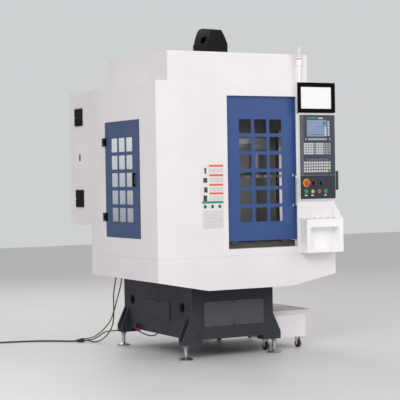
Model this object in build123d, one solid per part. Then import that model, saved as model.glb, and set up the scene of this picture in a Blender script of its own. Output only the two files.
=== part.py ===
from build123d import *
import math
import os

# A small vertical machining centre: cast base and column, sheet-metal enclosure,
# rear electric cabinet, coolant tank on wheels and a control panel beside the door.
# Sizes are in millimetres. While it is built, x runs right from the enclosure's front
# left corner, y runs back from its front face and z is the height above the floor.

# Enclosure
enclosure_width = 1400
enclosure_depth = 1077
post_width = 300
post_x = enclosure_width - post_width
tray_underside = 555
seam_height = 709
roof_height = 1890
sheet = 2
seam_groove = 1.5
flange = 20

# Tray
apron_drop = 70
apron_left = 373
apron_return = 12
spout_length = 120
spout_setback = 117

# Front door and its opening
opening_width = 551
opening_margin = 13
opening_x = (post_x - opening_margin - opening_width, post_x - opening_margin)
opening_z = (757, 1797)
leaf_setback = 28
leaf_width = 584
leaf_clearance = 1
leaf_x = (post_x - leaf_clearance - leaf_width, post_x - leaf_clearance)
leaf_z = (807, 1810)
leaf_depth = 24
jamb_depth = 107
jamb_setback = 14
window_cell = 97
window_bar = 24
window_corner = 8
front_window_columns = 3
front_window_rows = 6
front_window_inset = 128.5
front_window_x = leaf_x[0] + front_window_inset
front_window_z = 937
glass_thickness = 4
glass_margin = 14

# Door handle
handle_inset = 26
handle_x = leaf_x[1] - handle_inset
handle_z = (1042, 1250)
handle_radius = 7
handle_reach = 40
handle_foot_radius = 11

# Door rails
rail_start = 30
rail_web = (20, 60)
rail_floor = 1825
rail_height = 40
rail_wall = 3
rail_slot = 14
hanger_thickness = 8
hanger_width = 60
running_gap = 0.3
guide_blade_y = 58
guide_blade = 3
guide_blade_top = 800
guard_height = 870

# Side door
side_opening_gap = 3
side_leaf_y = (255, 809)
side_leaf_z = (840, 1643)
side_leaf_proud = 3
side_leaf_depth = 18
side_window_columns = 3
side_window_rows = 5
side_window_y = 362.5
side_window_z = 948
hinge_axis = (-12, 811)
hinge_radius = 8
hinge_pin_radius = 2.5
hinge_height = 58
hinge_heights = (949, 1478)
hinge_plate = 6
pull_y = (323, 343)
pull_z = (1190, 1285)
pull_reach = 14
pull_bar = 6
panel_seam_y = 822
panel_seam_depth = 0.8

# Roof box and motor hood
box_x = (120, enclosure_width - 178)
box_y = (60, enclosure_depth - 80)
box_top = 2095
axis_x = 657
hood_half_width = 74
hood_length = 224
hood_overhang = 103
hood_eaves = 70
hood_rise = 217
hood_front_drop = 30
hood_lean = (23, 108)
hood_wall = 3
hood_skirt = 5
hood_skirt_height = 98
hood_vent = (87, 48)
hood_vent_rise = 118
hood_vent_offset = 18

# Electric cabinet
cabinet_width = 1000
cabinet_back = 1470
cabinet_z = (912, 1895)
cabinet_door_thickness = 18
cabinet_door_margin = 6
cabinet_seal_lip = 22
vent_size = (0.3512 * (cabinet_back - enclosure_depth), 128)
vent_corner = 10
vent_y = enclosure_depth + 0.514 * (cabinet_back - enclosure_depth)
vent_heights = (1707, 1106)
vent_depth = 8
vent_slats = 5
cabinet_hinge_radius = 5
plate_margin = 60
plate_thickness = 3
din_rail_depth = 8

# Base casting
base_half_width = 322
base_front = 170
base_overrun = 8
base_edge = 135
base_wall = 22
deck_thickness = 25
leg_flare = 62
leg_flare_top = 290
leg_flare_foot = 155
leg_underside = 103
leg_length = 85
leg_inner_reach = 80
leg_rib = 18
pad_thickness = 25
crane_hole = 72
crane_hole_height = 350
crane_hole_inset = 147
cover_front_x = (426, 900)
cover_front_z = (223, 394)
cover_side_y = (500, 880)
cover_side_z = (238, 374)
cover_thickness = 5
cover_corner = 12
cover_lap = 20
bed_half_width = 230
bed_front = 210
bed_setback = 27
bed_top = 680
way_spacing = 140
way_width = 22
way_height = 18

# Levelling feet
foot_radius = 50
stud_radius = 12
stud_clearance = 0.05
nut_across = 36
nut_height = 18
locknut_height = 14

# Drain valve
valve_setback = 235
valve_z = 160
valve_reach = 30
valve_radius = 18
lever_thickness = 4
lever_length = 96
lever_drop = 22

# Column and axes
column_depth = 300
column_setback = 37
column_clearance = 10
table_room_front = 21
table_room_rear = 12
saddle_travel = 300
column_half_width = 150
column_top = 1830
column_way_spacing = 190
column_way_z = (940, 1830)
head_half_width = 110
head_clearance = 10
head_bottom = 1330
head_top = 1780
head_reach = 88
head_wall = 30
nose_height = 1300
cartridge_radius = 60
spindle_radius = 32
shaft_radius = 25
shaft_length = 100
motor_side = 120
motor_z = (1860, 2250)
saddle_half_width = 200
saddle_top = 770
cross_way_height = 18
cross_way_inset = 40
table_half_length = 325
table_top = 880
slot_width = 14
slot_depth = 24
slot_foot_width = 24
slot_foot_height = 10
slot_pitch_share = 0.6

# Tool changer
magazine_stroke = 170
carousel_z = 1240
carousel_thickness = 16
pocket_count = 12
pocket_radius = 23
pocket_mouth = 34
hub_radius = 55
hub_top = 1440
umbrella_radius = 150
arm_z = (1480, 1520)
arm_half_width = 40
arm_end_margin = 13
dovetail_height = 16
dovetail_neck = 12
dovetail_foot = 18
carriage_half_width = 70
carriage_half_depth = 50
pivot_radius = 15

# Control panel
monitor_width = 312
monitor_overlap = 15
monitor_x = (post_x - monitor_overlap, post_x - monitor_overlap + monitor_width)
monitor_z = (1685, 1895)
monitor_depth = 28
screen_width = 252
screen_margin = 28
screen_x = (monitor_x[0] + screen_margin, monitor_x[0] + screen_margin + screen_width)
screen_z = (1713, 1864)
screen_recess = 3
screen_corner = 6
control_x = (post_x, enclosure_width)
control_z = (1078, 1683)
control_depth = 18
panel_width = 288
panel_margin = 5
panel_x = (post_x + panel_margin, post_x + panel_margin + panel_width)
panel_z = (1085, 1670)
panel_split = 1248
panel_thickness = 6
panel_groove = 2
nc_screen_width = 164
nc_screen_margin = 56
nc_screen_x = (panel_x[0] + nc_screen_margin, panel_x[0] + nc_screen_margin + nc_screen_width)
nc_screen_z = (1520, 1635)
key_height = 3
editor_keys_start = (post_x + 32, 1395)
machine_keys_start = (post_x + 31, 1270)
key_columns = 11
key_rows = 5
key_pitch = (20.5, 16.5)
machine_key_pitch = 20
key_size = (17, 13)
machine_key_size = (15, 14.5)
soft_key_count = 8
soft_keys_start = (post_x + 71, 1495)
soft_key_pitch = 19.5
soft_key_size = (13, 11)
side_keys_start = (post_x + 231, 1524)
side_key_pitch = 13.5
side_key_size = (16, 9)
page_keys_x = (post_x + 46, post_x + 245)
page_keys_z = 1497
page_key_size = (9, 8)
estop_place = (post_x + 49, 1196)
estop_collar_radius = 28
estop_collar_height = 6
estop_stem_radius = 11
estop_radius = 21.5
estop_travel = 4
knob_places = {"feed_knob": (post_x + 111, 1196), "speed_knob": (post_x + 174, 1196)}
knob_radius = 14
knob_height = 18
button_places = {
    "start_button": (post_x + 45, 1136),
    "hold_button": (post_x + 98, 1136),
    "stop_button": (post_x + 154, 1136),
    "reset_button": (post_x + 207, 1136),
}
bezel_radius = 15.5
bezel_height = 4
button_radius = 11
button_proud = 8
button_depth = 10
fit = 0.05

# Handwheel
handwheel_depth = 38
handwheel_x = (enclosure_width + sheet, enclosure_width + sheet + handwheel_depth)
handwheel_y = (8, 88)
handwheel_z = (1143, 1278)
dial_height = 1236
dial_radius = 28
dial_thickness = 10
crank_radius = 5
crank_length = 9

# Tool rack
rack_x = (post_x, enclosure_width)
rack_reach = 102
rack_z = (713, 942)
rack_top_rise = 14
rack_recess_x = (post_x + 28, post_x + 270)
rack_recess_z = (737, 889)
rack_recess_depth = 67
rack_recess_corner = 14
rack_hole = 33
rack_hole_count = 5
rack_hole_pitch = 53
rack_hole_setback = 48
gusset_height = 1036
gusset_foot = 13

# Beacon
beacon_x = post_x + 37
beacon_y = 30
beacon_foot_radius = 26
beacon_pole_radius = 11
beacon_body_radius = 20
beacon_body_z = (2018, 2072)
beacon_lens_radius = 17
beacon_top = 2147

# Coolant tank
tank_width = 349
tank_gap = 11
tank_front = 310
tank_overhang = 33
tank_z = (84, 243)
tank_rim = 281
tank_flare = 35
tank_wall = 2.5
lid_drop = 8
lid_thickness = 2
strainer_hole = 10
strainer_pitch = 24
pump_setback = 58
pump_radius = 62
pump_height = 190
pump_well = 150
wheel_radius = 30
wheel_width = 22
wheel_inset = (32, 56)
axle_radius = 5
fork_wall = 4

# Cords
lead_diameter = 9
supply_diameter = 13
cable_lie = 6.6
gland_radius = 11
gland_length = 32
lead_gland_y = 1245
lead_gland_x = {"black_lead": 271, "green_lead": 314}
base_gland = (690, 155)
clip_x = 382
clip_z = 108
clip_length = 12
clip_radius = 9
boot_rear = (122, 1551, 17.1)
boot_front = (80, 1592, 10.1)
boot_rear_radius = 17
boot_front_radius = 10
coil_center = (-552, 1982)
coil_radius = 73
coil_columns = 3
coil_rows = 2
coil_bite = 1
entry_direction = (-0.978, 0.209, 0)
entry_length = 70
plug_radius = 31
plug_length = 112
plug_tail_length = 34

base_back = base_front + enclosure_depth + base_overrun
spout_y = (enclosure_depth - spout_setback - spout_length, enclosure_depth - spout_setback)
bed_y = (bed_front, enclosure_depth - bed_setback)
column_y = (enclosure_depth - column_setback - column_depth, enclosure_depth - column_setback)
way_end_y = column_y[0] - column_clearance
table_room = column_y[0] - jamb_depth - table_room_front - table_room_rear
table_half_width = (table_room - saddle_travel) / 2
cross_way_offset = table_half_width - cross_way_inset
slot_pitch = slot_pitch_share * table_half_width
axis_y = column_y[0] - table_room_rear - saddle_travel / 2 - table_half_width
head_front = axis_y - head_reach
saddle_y = (axis_y - table_half_width, axis_y + table_half_width)
hood_y = (axis_y - hood_overhang, axis_y - hood_overhang + hood_length)
hood_vent_y = axis_y - hood_vent_offset
base_left = axis_x - base_half_width
base_right = axis_x + base_half_width
overhang = enclosure_width - base_right
apron_right = base_right + leg_flare
spout_x = (base_right + 0.311 * overhang, base_right + 0.691 * overhang)
tank_x = (base_right + tank_gap, base_right + tank_gap + tank_width)
tank_y = (tank_front, enclosure_depth + tank_overhang)
pump_center = (tank_x[0] + tank_width / 2, tank_y[1] - pump_setback)
valve_y = base_back - valve_setback
jamb_x = opening_x[1] + jamb_setback
leaf_front = leaf_setback
carousel_radius = head_half_width + head_clearance + carriage_half_width
fork_radius = carousel_radius + pocket_mouth
magazine_x = axis_x + carousel_radius + magazine_stroke
arm_reach = magazine_x + carriage_half_width + arm_end_margin
leaf_rear = leaf_setback + leaf_depth
glass_step = window_cell + window_bar


def middle(limits):
    return (limits[0] + limits[1]) / 2


def span(limits):
    return limits[1] - limits[0]


def block(x_limits, y_limits, z_limits):
    """A rectangular solid between limits."""
    limits = (x_limits, y_limits, z_limits)
    return Pos(*[middle(pair) for pair in limits]) * Box(*[span(pair) for pair in limits])


def window(across, up, corner=0):
    """A rectangle between limits, for a sketch."""
    if corner:
        return Pos(middle(across), middle(up)) * RectangleRounded(span(across), span(up), corner)
    return Pos(middle(across), middle(up)) * Rectangle(span(across), span(up))


def facing_front(sketch, y_front, depth):
    """A sketch in x and z, made solid from y_front backwards."""
    return extrude(Plane.XZ.offset(-y_front) * sketch, depth, dir=(0, 1, 0))


def facing_side(sketch, x_left, depth):
    """A sketch in y and z, made solid from x_left to the right."""
    return extrude(Plane.YZ.offset(x_left) * sketch, depth, dir=(1, 0, 0))


def lying_flat(sketch, z_bottom, depth):
    """A sketch in x and y, made solid upwards."""
    return extrude(Plane.XY.offset(z_bottom) * sketch, depth, dir=(0, 0, 1))


def pin(start, direction, radius, length):
    """A round bar from a point along a direction."""
    plane = Plane(origin=start, z_dir=direction)
    return plane * Cylinder(radius, length, align=(Align.CENTER, Align.CENTER, Align.MIN))


def turned(profile, x, y, z=0):
    """A profile of radius and height, turned about a vertical axis."""
    outline = make_face(Polyline(*profile, close=True))
    return Pos(x, y, z) * revolve(Plane.XZ * outline, Axis.Z)


def mirrored_pair(place):
    return (axis_x - place, axis_x + place)


def window_grid(start, columns, rows):
    """The cells of a glazed door leaf, from the lowest left cell."""
    cells = []
    for column in range(columns):
        for row in range(rows):
            left = start[0] + column * glass_step
            foot = start[1] + row * glass_step
            cells.append(window((left, left + window_cell), (foot, foot + window_cell), window_corner))
    return cells


def grid_limits(start, count):
    return (start - glass_margin, start + count * glass_step - window_bar + glass_margin)


def make_base_casting():
    outer = block((base_left, base_right), (base_front, base_back), (base_edge, tray_underside))
    hollow = block(
        (base_left + base_wall, base_right - base_wall),
        (base_front + base_wall, base_back - base_wall),
        (base_edge, tray_underside - deck_thickness),
    )
    bed = block(mirrored_pair(bed_half_width), bed_y, (tray_underside, bed_top))
    bed_hollow = block(
        mirrored_pair(bed_half_width - base_wall),
        (bed_y[0] + base_wall, bed_y[1] - base_wall),
        (tray_underside - deck_thickness, bed_top - deck_thickness),
    )
    casting = outer + bed - hollow - bed_hollow
    ways = [
        block(
            (x - way_width / 2, x + way_width / 2),
            (bed_y[0] + 5, way_end_y),
            (bed_top, bed_top + way_height),
        )
        for x in mirrored_pair(way_spacing)
    ]
    casting = casting + ways

    # Each leg is a pair of ribs that flare out sideways, joined by a drilled pad.
    rib_outline = Polygon(
        (base_left, leg_flare_top),
        (base_left - leg_flare, leg_flare_foot),
        (base_left - leg_flare, leg_underside),
        (base_left + leg_inner_reach, leg_underside),
        (base_left + leg_inner_reach, base_edge + 1),
        (base_left, base_edge + 1),
        align=None,
    )
    legs = []
    for leg_front in (base_front, base_back - leg_length):
        for rib_front in (leg_front, leg_front + leg_length - leg_rib):
            legs.append(facing_front(rib_outline, rib_front, leg_rib))
        legs.append(block(
            (base_left - leg_flare, base_left + leg_inner_reach),
            (leg_front, leg_front + leg_length),
            (leg_underside, leg_underside + pad_thickness),
        ))
    legs += [mirror(leg, Plane.YZ.offset(axis_x)) for leg in legs]
    casting = casting + legs

    holes = [
        pin((base_left - 1, y, crane_hole_height), (1, 0, 0), crane_hole / 2, 2 * base_half_width + 2)
        for y in (base_front + crane_hole_inset, base_back - crane_hole_inset + 5)
    ]
    holes += [
        pin((x, y, leg_underside - 1), (0, 0, 1), stud_radius + stud_clearance, pad_thickness + 2)
        for x, y in foot_places()
    ]
    front_opening = window(
        (cover_front_x[0] + cover_lap, cover_front_x[1] - cover_lap),
        (cover_front_z[0] + cover_lap, cover_front_z[1] - cover_lap),
        cover_corner,
    )
    side_opening = window(
        (cover_side_y[0] + cover_lap, cover_side_y[1] - cover_lap),
        (cover_side_z[0] + cover_lap, cover_side_z[1] - cover_lap),
        cover_corner,
    )
    holes.append(facing_front(front_opening, base_front - 1, base_wall + 2))
    holes.append(facing_side(side_opening, base_left - 1, 2 * base_half_width + 2))
    valve = pin((base_left - valve_reach, valve_y, valve_z), (1, 0, 0), valve_radius, valve_reach + 1)
    valve += pin(
        (base_left - valve_reach - lever_thickness - 4, valve_y, valve_z),
        (1, 0, 0),
        axle_radius,
        10,
    )
    return casting - holes + valve


def foot_places():
    inset = leg_length / 2
    x_left = base_left - leg_flare / 2
    x_right = base_right + leg_flare / 2
    return [(x, y) for x in (x_left, x_right) for y in (base_front + inset, base_back - inset)]


def make_base_covers():
    front = facing_front(
        window(cover_front_x, cover_front_z, cover_corner),
        base_front - cover_thickness,
        cover_thickness,
    )
    sketch = window(cover_side_y, cover_side_z, cover_corner)
    sides = [facing_side(sketch, x, cover_thickness) for x in (base_left - cover_thickness, base_right)]
    return [front] + sides


def make_levelling_feet():
    locknut_bottom = leg_underside + pad_thickness
    stud_top = locknut_bottom + locknut_height + 20
    profile = [
        (0, 0),
        (foot_radius, 0),
        (foot_radius, 6),
        (foot_radius - 4, 10),
        (20, 18),
        (stud_radius, 22),
        (stud_radius, stud_top),
        (0, stud_top),
    ]
    feet = []
    for x, y in foot_places():
        foot = turned(profile, x, y)
        hexagon = Pos(x, y) * RegularPolygon(nut_across / 2, 6, major_radius=False)
        foot += lying_flat(hexagon, leg_underside - nut_height, nut_height)
        foot += lying_flat(hexagon, locknut_bottom, locknut_height)
        feet.append(foot)
    return feet


def make_drain_lever():
    outline = Polygon(
        (valve_y + 10, valve_z - 9),
        (valve_y + 10, valve_z + 9),
        (valve_y - 12, valve_z + 9),
        (valve_y - 30, valve_z - lever_drop + 10),
        (valve_y - lever_length, valve_z - lever_drop + 10),
        (valve_y - lever_length, valve_z - lever_drop - 10),
        (valve_y - 34, valve_z - lever_drop - 10),
        (valve_y - 16, valve_z - 9),
        align=None,
    )
    lever = facing_side(outline, base_left - valve_reach - lever_thickness, lever_thickness)
    bore = pin((base_left - valve_reach - 20, valve_y, valve_z), (1, 0, 0), axle_radius + fit, 40)
    return fillet(lever.edges().filter_by(Axis.X), 4) - bore


def make_chip_tray():
    lower_edge = [
        (0, tray_underside),
        (apron_left, tray_underside - apron_drop),
        (apron_right, tray_underside - apron_drop),
        (enclosure_width, tray_underside),
    ]
    apron = make_face(Polyline((0, seam_height), *lower_edge, (enclosure_width, seam_height), close=True))
    raised_edge = [(x, z + sheet) for x, z in reversed(lower_edge)]
    apron_lip = make_face(Polyline(*lower_edge, *raised_edge, close=True))
    inner_x = (sheet, enclosure_width - sheet)
    inner_y = (sheet, enclosure_depth - sheet)
    wall_z = (tray_underside, seam_height)
    bed_hole = window(
        mirrored_pair(bed_half_width + 2),
        (bed_y[0] - 2, bed_y[1] + 2),
    )
    floor = window(inner_x, inner_y) - bed_hole - window(spout_x, spout_y)
    rim = window(inner_x, inner_y) - window(
        (flange, enclosure_width - flange),
        (flange, enclosure_depth - flange),
    )
    spout = window(
        (spout_x[0] - sheet, spout_x[1] + sheet),
        (spout_y[0] - sheet, spout_y[1] + sheet),
    ) - window(spout_x, spout_y)
    spout_foot = tank_rim - lid_drop + running_gap
    return (
        facing_front(apron, 0, sheet)
        + facing_front(apron_lip, sheet, apron_return)
        + block((0, sheet), (sheet, enclosure_depth), wall_z)
        + block((enclosure_width - sheet, enclosure_width), (sheet, enclosure_depth), wall_z)
        + block(inner_x, (enclosure_depth - sheet, enclosure_depth), wall_z)
        + lying_flat(floor, tray_underside, sheet)
        + lying_flat(rim, seam_height - sheet, sheet)
        + lying_flat(spout, spout_foot, tray_underside + sheet - spout_foot)
    )


def make_front_panel():
    plate = window((0, enclosure_width), (seam_height + seam_groove, roof_height - sheet))
    plate = facing_front(plate - window(opening_x, opening_z), 0, sheet)
    stop_y = (sheet, leaf_front - 4)
    foot = block((sheet, enclosure_width - sheet), (sheet, flange), (seam_height, seam_height + sheet))
    left_return = block((opening_x[0] - sheet, opening_x[0]), stop_y, opening_z)
    head_x = (opening_x[0] - sheet, jamb_x + sheet)
    head_return = block(head_x, stop_y, (opening_z[1], opening_z[1] + sheet))
    jamb = block((jamb_x, jamb_x + sheet), (sheet, jamb_depth), opening_z)
    jamb_back = block((jamb_x, jamb_x + 3 * flange), (jamb_depth, jamb_depth + sheet), opening_z)
    sill = block(head_x, (sheet, jamb_depth - sheet), (opening_z[0] - sheet, opening_z[0]))
    return plate + foot + left_return + head_return + jamb + jamb_back + sill


def make_left_panel():
    opening_y = (side_leaf_y[0] - side_opening_gap, side_leaf_y[1] + side_opening_gap)
    opening_up = (side_leaf_z[0] - side_opening_gap, side_leaf_z[1] + side_opening_gap)
    stop_depth = (sheet, side_leaf_depth + sheet)
    outline = window((sheet, enclosure_depth - sheet), (seam_height + seam_groove, roof_height - sheet))
    plate = facing_side(outline - window(opening_y, opening_up), 0, sheet)
    frame = window(
        (opening_y[0] - sheet, opening_y[1] + sheet),
        (opening_up[0] - sheet, opening_up[1] + sheet),
    )
    reveal = facing_side(frame - window(opening_y, opening_up), stop_depth[0], stop_depth[1] - stop_depth[0])
    stop = facing_side(
        frame - window(
            (opening_y[0] + 15, opening_y[1] - 15),
            (opening_up[0] + 15, opening_up[1] - 15),
        ),
        stop_depth[1],
        sheet,
    )
    foot = block((sheet, flange), (flange, enclosure_depth - flange), (seam_height, seam_height + sheet))
    groove = block(
        (0, panel_seam_depth),
        (panel_seam_y, panel_seam_y + seam_groove),
        (seam_height, roof_height),
    )
    panel = plate + reveal + stop + foot - groove
    for height in hinge_heights:
        panel += make_hinge_fixed_half(height)
    return panel


def make_hinge_fixed_half(height):
    """The bolted half of an outside hinge, with the pin."""
    x, y = hinge_axis
    third = hinge_height / 3
    half = block((-hinge_plate, 0), (y + hinge_radius + 1, y + 49), (height, height + hinge_height))
    for foot in (height, height + 2 * third):
        half += pin((x, y, foot), (0, 0, 1), hinge_radius, third)
        half += block((-hinge_plate, 0), (y + 1, y + hinge_radius + 1), (foot, foot + third))
    return half + pin((x, y, height), (0, 0, 1), hinge_pin_radius, hinge_height)


def make_side_door_fittings():
    x, y = hinge_axis
    third = hinge_height / 3
    solids = []
    for height in hinge_heights:
        gap = 0.5
        half = block((-7, -side_leaf_proud), (y - 25, y - 8), (height, height + hinge_height))
        half += block(
            (-7, -side_leaf_proud),
            (y - 25, y - 3),
            (height + third + gap, height + 2 * third - gap),
        )
        half += pin((x, y, height + third + gap), (0, 0, 1), hinge_radius, third - 2 * gap)
        solids.append(half - pin((x, y, height), (0, 0, 1), hinge_pin_radius + fit, hinge_height))
    grip = block((-side_leaf_proud - pull_reach, -side_leaf_proud), pull_y, pull_z)
    hollow = block(
        (-side_leaf_proud - pull_reach + pull_bar, -side_leaf_proud),
        (pull_y[0] - 1, pull_y[1] + 1),
        (pull_z[0] + 16, pull_z[1] - 16),
    )
    grip = grip - hollow
    grip = fillet(grip.edges().filter_by(Axis.Y).group_by(Axis.X)[0], pull_bar - 1)
    solids.append(grip)
    return solids


def make_right_panel():
    outline = window((sheet, enclosure_depth - sheet), (seam_height + seam_groove, roof_height - sheet))
    plate = facing_side(outline, enclosure_width - sheet, sheet)
    inside = enclosure_width - sheet
    foot = block(
        (enclosure_width - flange, inside),
        (flange, enclosure_depth - flange),
        (seam_height, seam_height + sheet),
    )
    ledge_z = (handwheel_z[0] - sheet, handwheel_z[0])
    cradle = block((enclosure_width, handwheel_x[0]), handwheel_y, (ledge_z[0], handwheel_z[0] + 60))
    cradle += block((enclosure_width, handwheel_x[1] + sheet), handwheel_y, ledge_z)
    lip_x = (handwheel_x[1] + running_gap, handwheel_x[1] + running_gap + sheet)
    cradle += block(lip_x, handwheel_y, (ledge_z[0], ledge_z[1] + 14))
    return plate + foot + cradle


def make_rear_panel():
    outline = window((0, enclosure_width), (seam_height + seam_groove, roof_height - sheet))
    cable_pass = window((300, 500), (1000, 1200), flange)
    plate = facing_front(outline - cable_pass, enclosure_depth - sheet, sheet)
    foot_y = (enclosure_depth - flange, enclosure_depth - sheet)
    return plate + block((sheet, enclosure_width - sheet), foot_y, (seam_height, seam_height + sheet))


def make_roof():
    box_hole = window((box_x[0] + sheet, box_x[1] - sheet), (box_y[0] + sheet, box_y[1] - sheet))
    plate = lying_flat(
        window((0, enclosure_width), (0, enclosure_depth)) - box_hole,
        roof_height - sheet,
        sheet,
    )
    walls = lying_flat(window(box_x, box_y) - box_hole, roof_height, box_top - sheet - roof_height)
    motor_hole = window(
        (axis_x - hood_half_width + 8, axis_x + hood_half_width - 8),
        (hood_y[0] + 8, hood_y[1] - 8),
    )
    return plate + walls + lying_flat(window(box_x, box_y) - motor_hole, box_top - sheet, sheet)


def hood_form(inset):
    """An arch along the machine's depth, under a top that falls to the front, and with a leaning front."""
    half = hood_half_width - inset
    eaves = box_top + hood_eaves
    crest = box_top + hood_rise - inset
    haunch = (half * 0.52, eaves + 0.83 * (crest - eaves))
    right_side = [
        Line((half, box_top), (half, eaves)),
        ThreePointArc((half, eaves), (half * 0.82, eaves + 0.48 * (crest - eaves)), haunch),
        ThreePointArc(haunch, (half * 0.28, eaves + 0.955 * (crest - eaves)), (0, crest)),
    ]
    edges = Curve() + right_side + [Line((0, crest), (0, box_top)), Line((0, box_top), (half, box_top))]
    half_arch = make_face(edges)
    arch = Pos(axis_x, 0) * (half_arch + mirror(half_arch, about=Plane.YZ))
    front, back = hood_y[0] + inset, hood_y[1] - inset
    slope = hood_front_drop / (hood_y[1] - hood_y[0] - hood_lean[0])
    shoulder = hood_lean[1] + box_top
    top_front = crest - hood_front_drop
    side = Polygon(
        (front, box_top),
        (back, box_top),
        (back, crest + inset * slope),
        (front + hood_lean[0], top_front),
        (front, shoulder),
        align=None,
    )
    return facing_front(arch, front, back - front) & facing_side(side, axis_x - half, 2 * half)


def make_motor_hood():
    skirt_x = (axis_x - hood_half_width - hood_skirt, axis_x + hood_half_width + hood_skirt)
    skirt_y = (hood_y[0] - hood_skirt, hood_y[1] + hood_skirt)
    skirt = block(skirt_x, skirt_y, (box_top, box_top + hood_skirt_height))
    skirt = fillet(skirt.edges().filter_by(Axis.Z), 10)
    skirt = chamfer(skirt.edges().group_by(Axis.Z)[-1], hood_skirt - 1)
    foot_plate = block(
        (skirt_x[0] - 10, skirt_x[1] + 10),
        (hood_y[0] - hood_skirt - 10, hood_y[1] + hood_skirt + 10),
        (box_top, box_top + hood_wall),
    )
    hood = hood_form(0) + skirt + foot_plate - hood_form(hood_wall)
    vent_z = box_top + hood_vent_rise
    vent = window(
        (hood_vent_y - hood_vent[0] / 2, hood_vent_y + hood_vent[0] / 2),
        (vent_z - hood_vent[1] / 2, vent_z + hood_vent[1] / 2),
        hood_vent[1] / 2 - 1,
    )
    return hood - facing_side(vent, axis_x - hood_half_width - hood_skirt - 1, 40)


def make_cabinet_shell():
    shell_back = cabinet_back - cabinet_door_thickness
    outer = block((0, cabinet_width), (enclosure_depth, shell_back), cabinet_z)
    inner = block(
        (sheet, cabinet_width - sheet),
        (enclosure_depth + sheet, shell_back),
        (cabinet_z[0] + sheet, cabinet_z[1] - sheet),
    )
    lip = window((sheet, cabinet_width - sheet), (cabinet_z[0] + sheet, cabinet_z[1] - sheet))
    lip -= window(
        (cabinet_seal_lip, cabinet_width - cabinet_seal_lip),
        (cabinet_z[0] + cabinet_seal_lip, cabinet_z[1] - cabinet_seal_lip),
    )
    shell = outer - inner + facing_front(lip, shell_back - sheet, sheet)
    for height in vent_heights:
        air_hole = window(
            (vent_y - vent_size[0] / 2 + 12, vent_y + vent_size[0] / 2 - 12),
            (height - vent_size[1] / 2 + 12, height + vent_size[1] / 2 - 12),
        )
        shell -= facing_side(air_hole, -1, sheet + 2)
    for height in cabinet_hinge_heights():
        shell += pin((cabinet_hinge_x(), cabinet_hinge_y(), height), (0, 0, 1), cabinet_hinge_radius, 30)
        shell += block(
            (cabinet_width, cabinet_hinge_x()),
            (cabinet_hinge_y() - 30, cabinet_hinge_y() - 2),
            (height, height + 30),
        )
        shell += pin((cabinet_hinge_x(), cabinet_hinge_y(), height), (0, 0, 1), hinge_pin_radius, 60)
    return shell


def cabinet_hinge_x():
    return cabinet_width + cabinet_hinge_radius


def cabinet_hinge_y():
    return cabinet_back - cabinet_door_thickness / 2


def cabinet_hinge_heights():
    return (cabinet_z[0] + 120, cabinet_z[1] - 180)


def make_cabinet_door():
    shell_back = cabinet_back - cabinet_door_thickness
    x_limits = (cabinet_door_margin, cabinet_width - cabinet_door_margin)
    z_limits = (cabinet_z[0] + cabinet_door_margin, cabinet_z[1] - cabinet_door_margin)
    door = block(x_limits, (shell_back + running_gap, cabinet_back), z_limits)
    door -= block(
        (x_limits[0] + sheet, x_limits[1] - sheet),
        (shell_back, cabinet_back - sheet),
        (z_limits[0] + sheet, z_limits[1] - sheet),
    )
    for height in cabinet_hinge_heights():
        knuckle_foot = height + 30.5
        door += pin((cabinet_hinge_x(), cabinet_hinge_y(), knuckle_foot), (0, 0, 1), cabinet_hinge_radius, 29)
        door += block(
            (x_limits[1] - sheet, cabinet_hinge_x()),
            (cabinet_hinge_y() - 2, cabinet_hinge_y() + 2),
            (knuckle_foot, knuckle_foot + 29),
        )
        door -= pin((cabinet_hinge_x(), cabinet_hinge_y(), height), (0, 0, 1), hinge_pin_radius + fit, 62)
    for height in (cabinet_z[0] + 220, cabinet_z[1] - 220):
        door += pin((60, cabinet_back, height), (0, 1, 0), 12, 6)
        door -= block((52, 68), (cabinet_back + 3, cabinet_back + 7), (height - 2, height + 2))
    return door


def make_cabinet_vents():
    vents = []
    for height in vent_heights:
        y_limits = (vent_y - vent_size[0] / 2, vent_y + vent_size[0] / 2)
        for low, high in ((-vent_size[1] / 2, -1.5), (1.5, vent_size[1] / 2)):
            half = facing_side(
                window(y_limits, (height + low, height + high), vent_corner / 2),
                -vent_depth,
                vent_depth,
            )
            pitch = (high - low - 12) / vent_slats
            for slat in range(vent_slats):
                slot_foot = height + low + 8 + slat * pitch
                half -= block(
                    (-vent_depth, -vent_depth + 4),
                    (y_limits[0] + 10, y_limits[1] - 10),
                    (slot_foot, slot_foot + pitch / 2),
                )
            vents.append(half)
        bridge = block((-3, 0), (y_limits[0] + 8, y_limits[1] - 8), (height - 1.5, height + 1.5))
        lower = vents.pop()
        upper = vents.pop()
        vents.append(upper + lower + bridge)
    return vents


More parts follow.
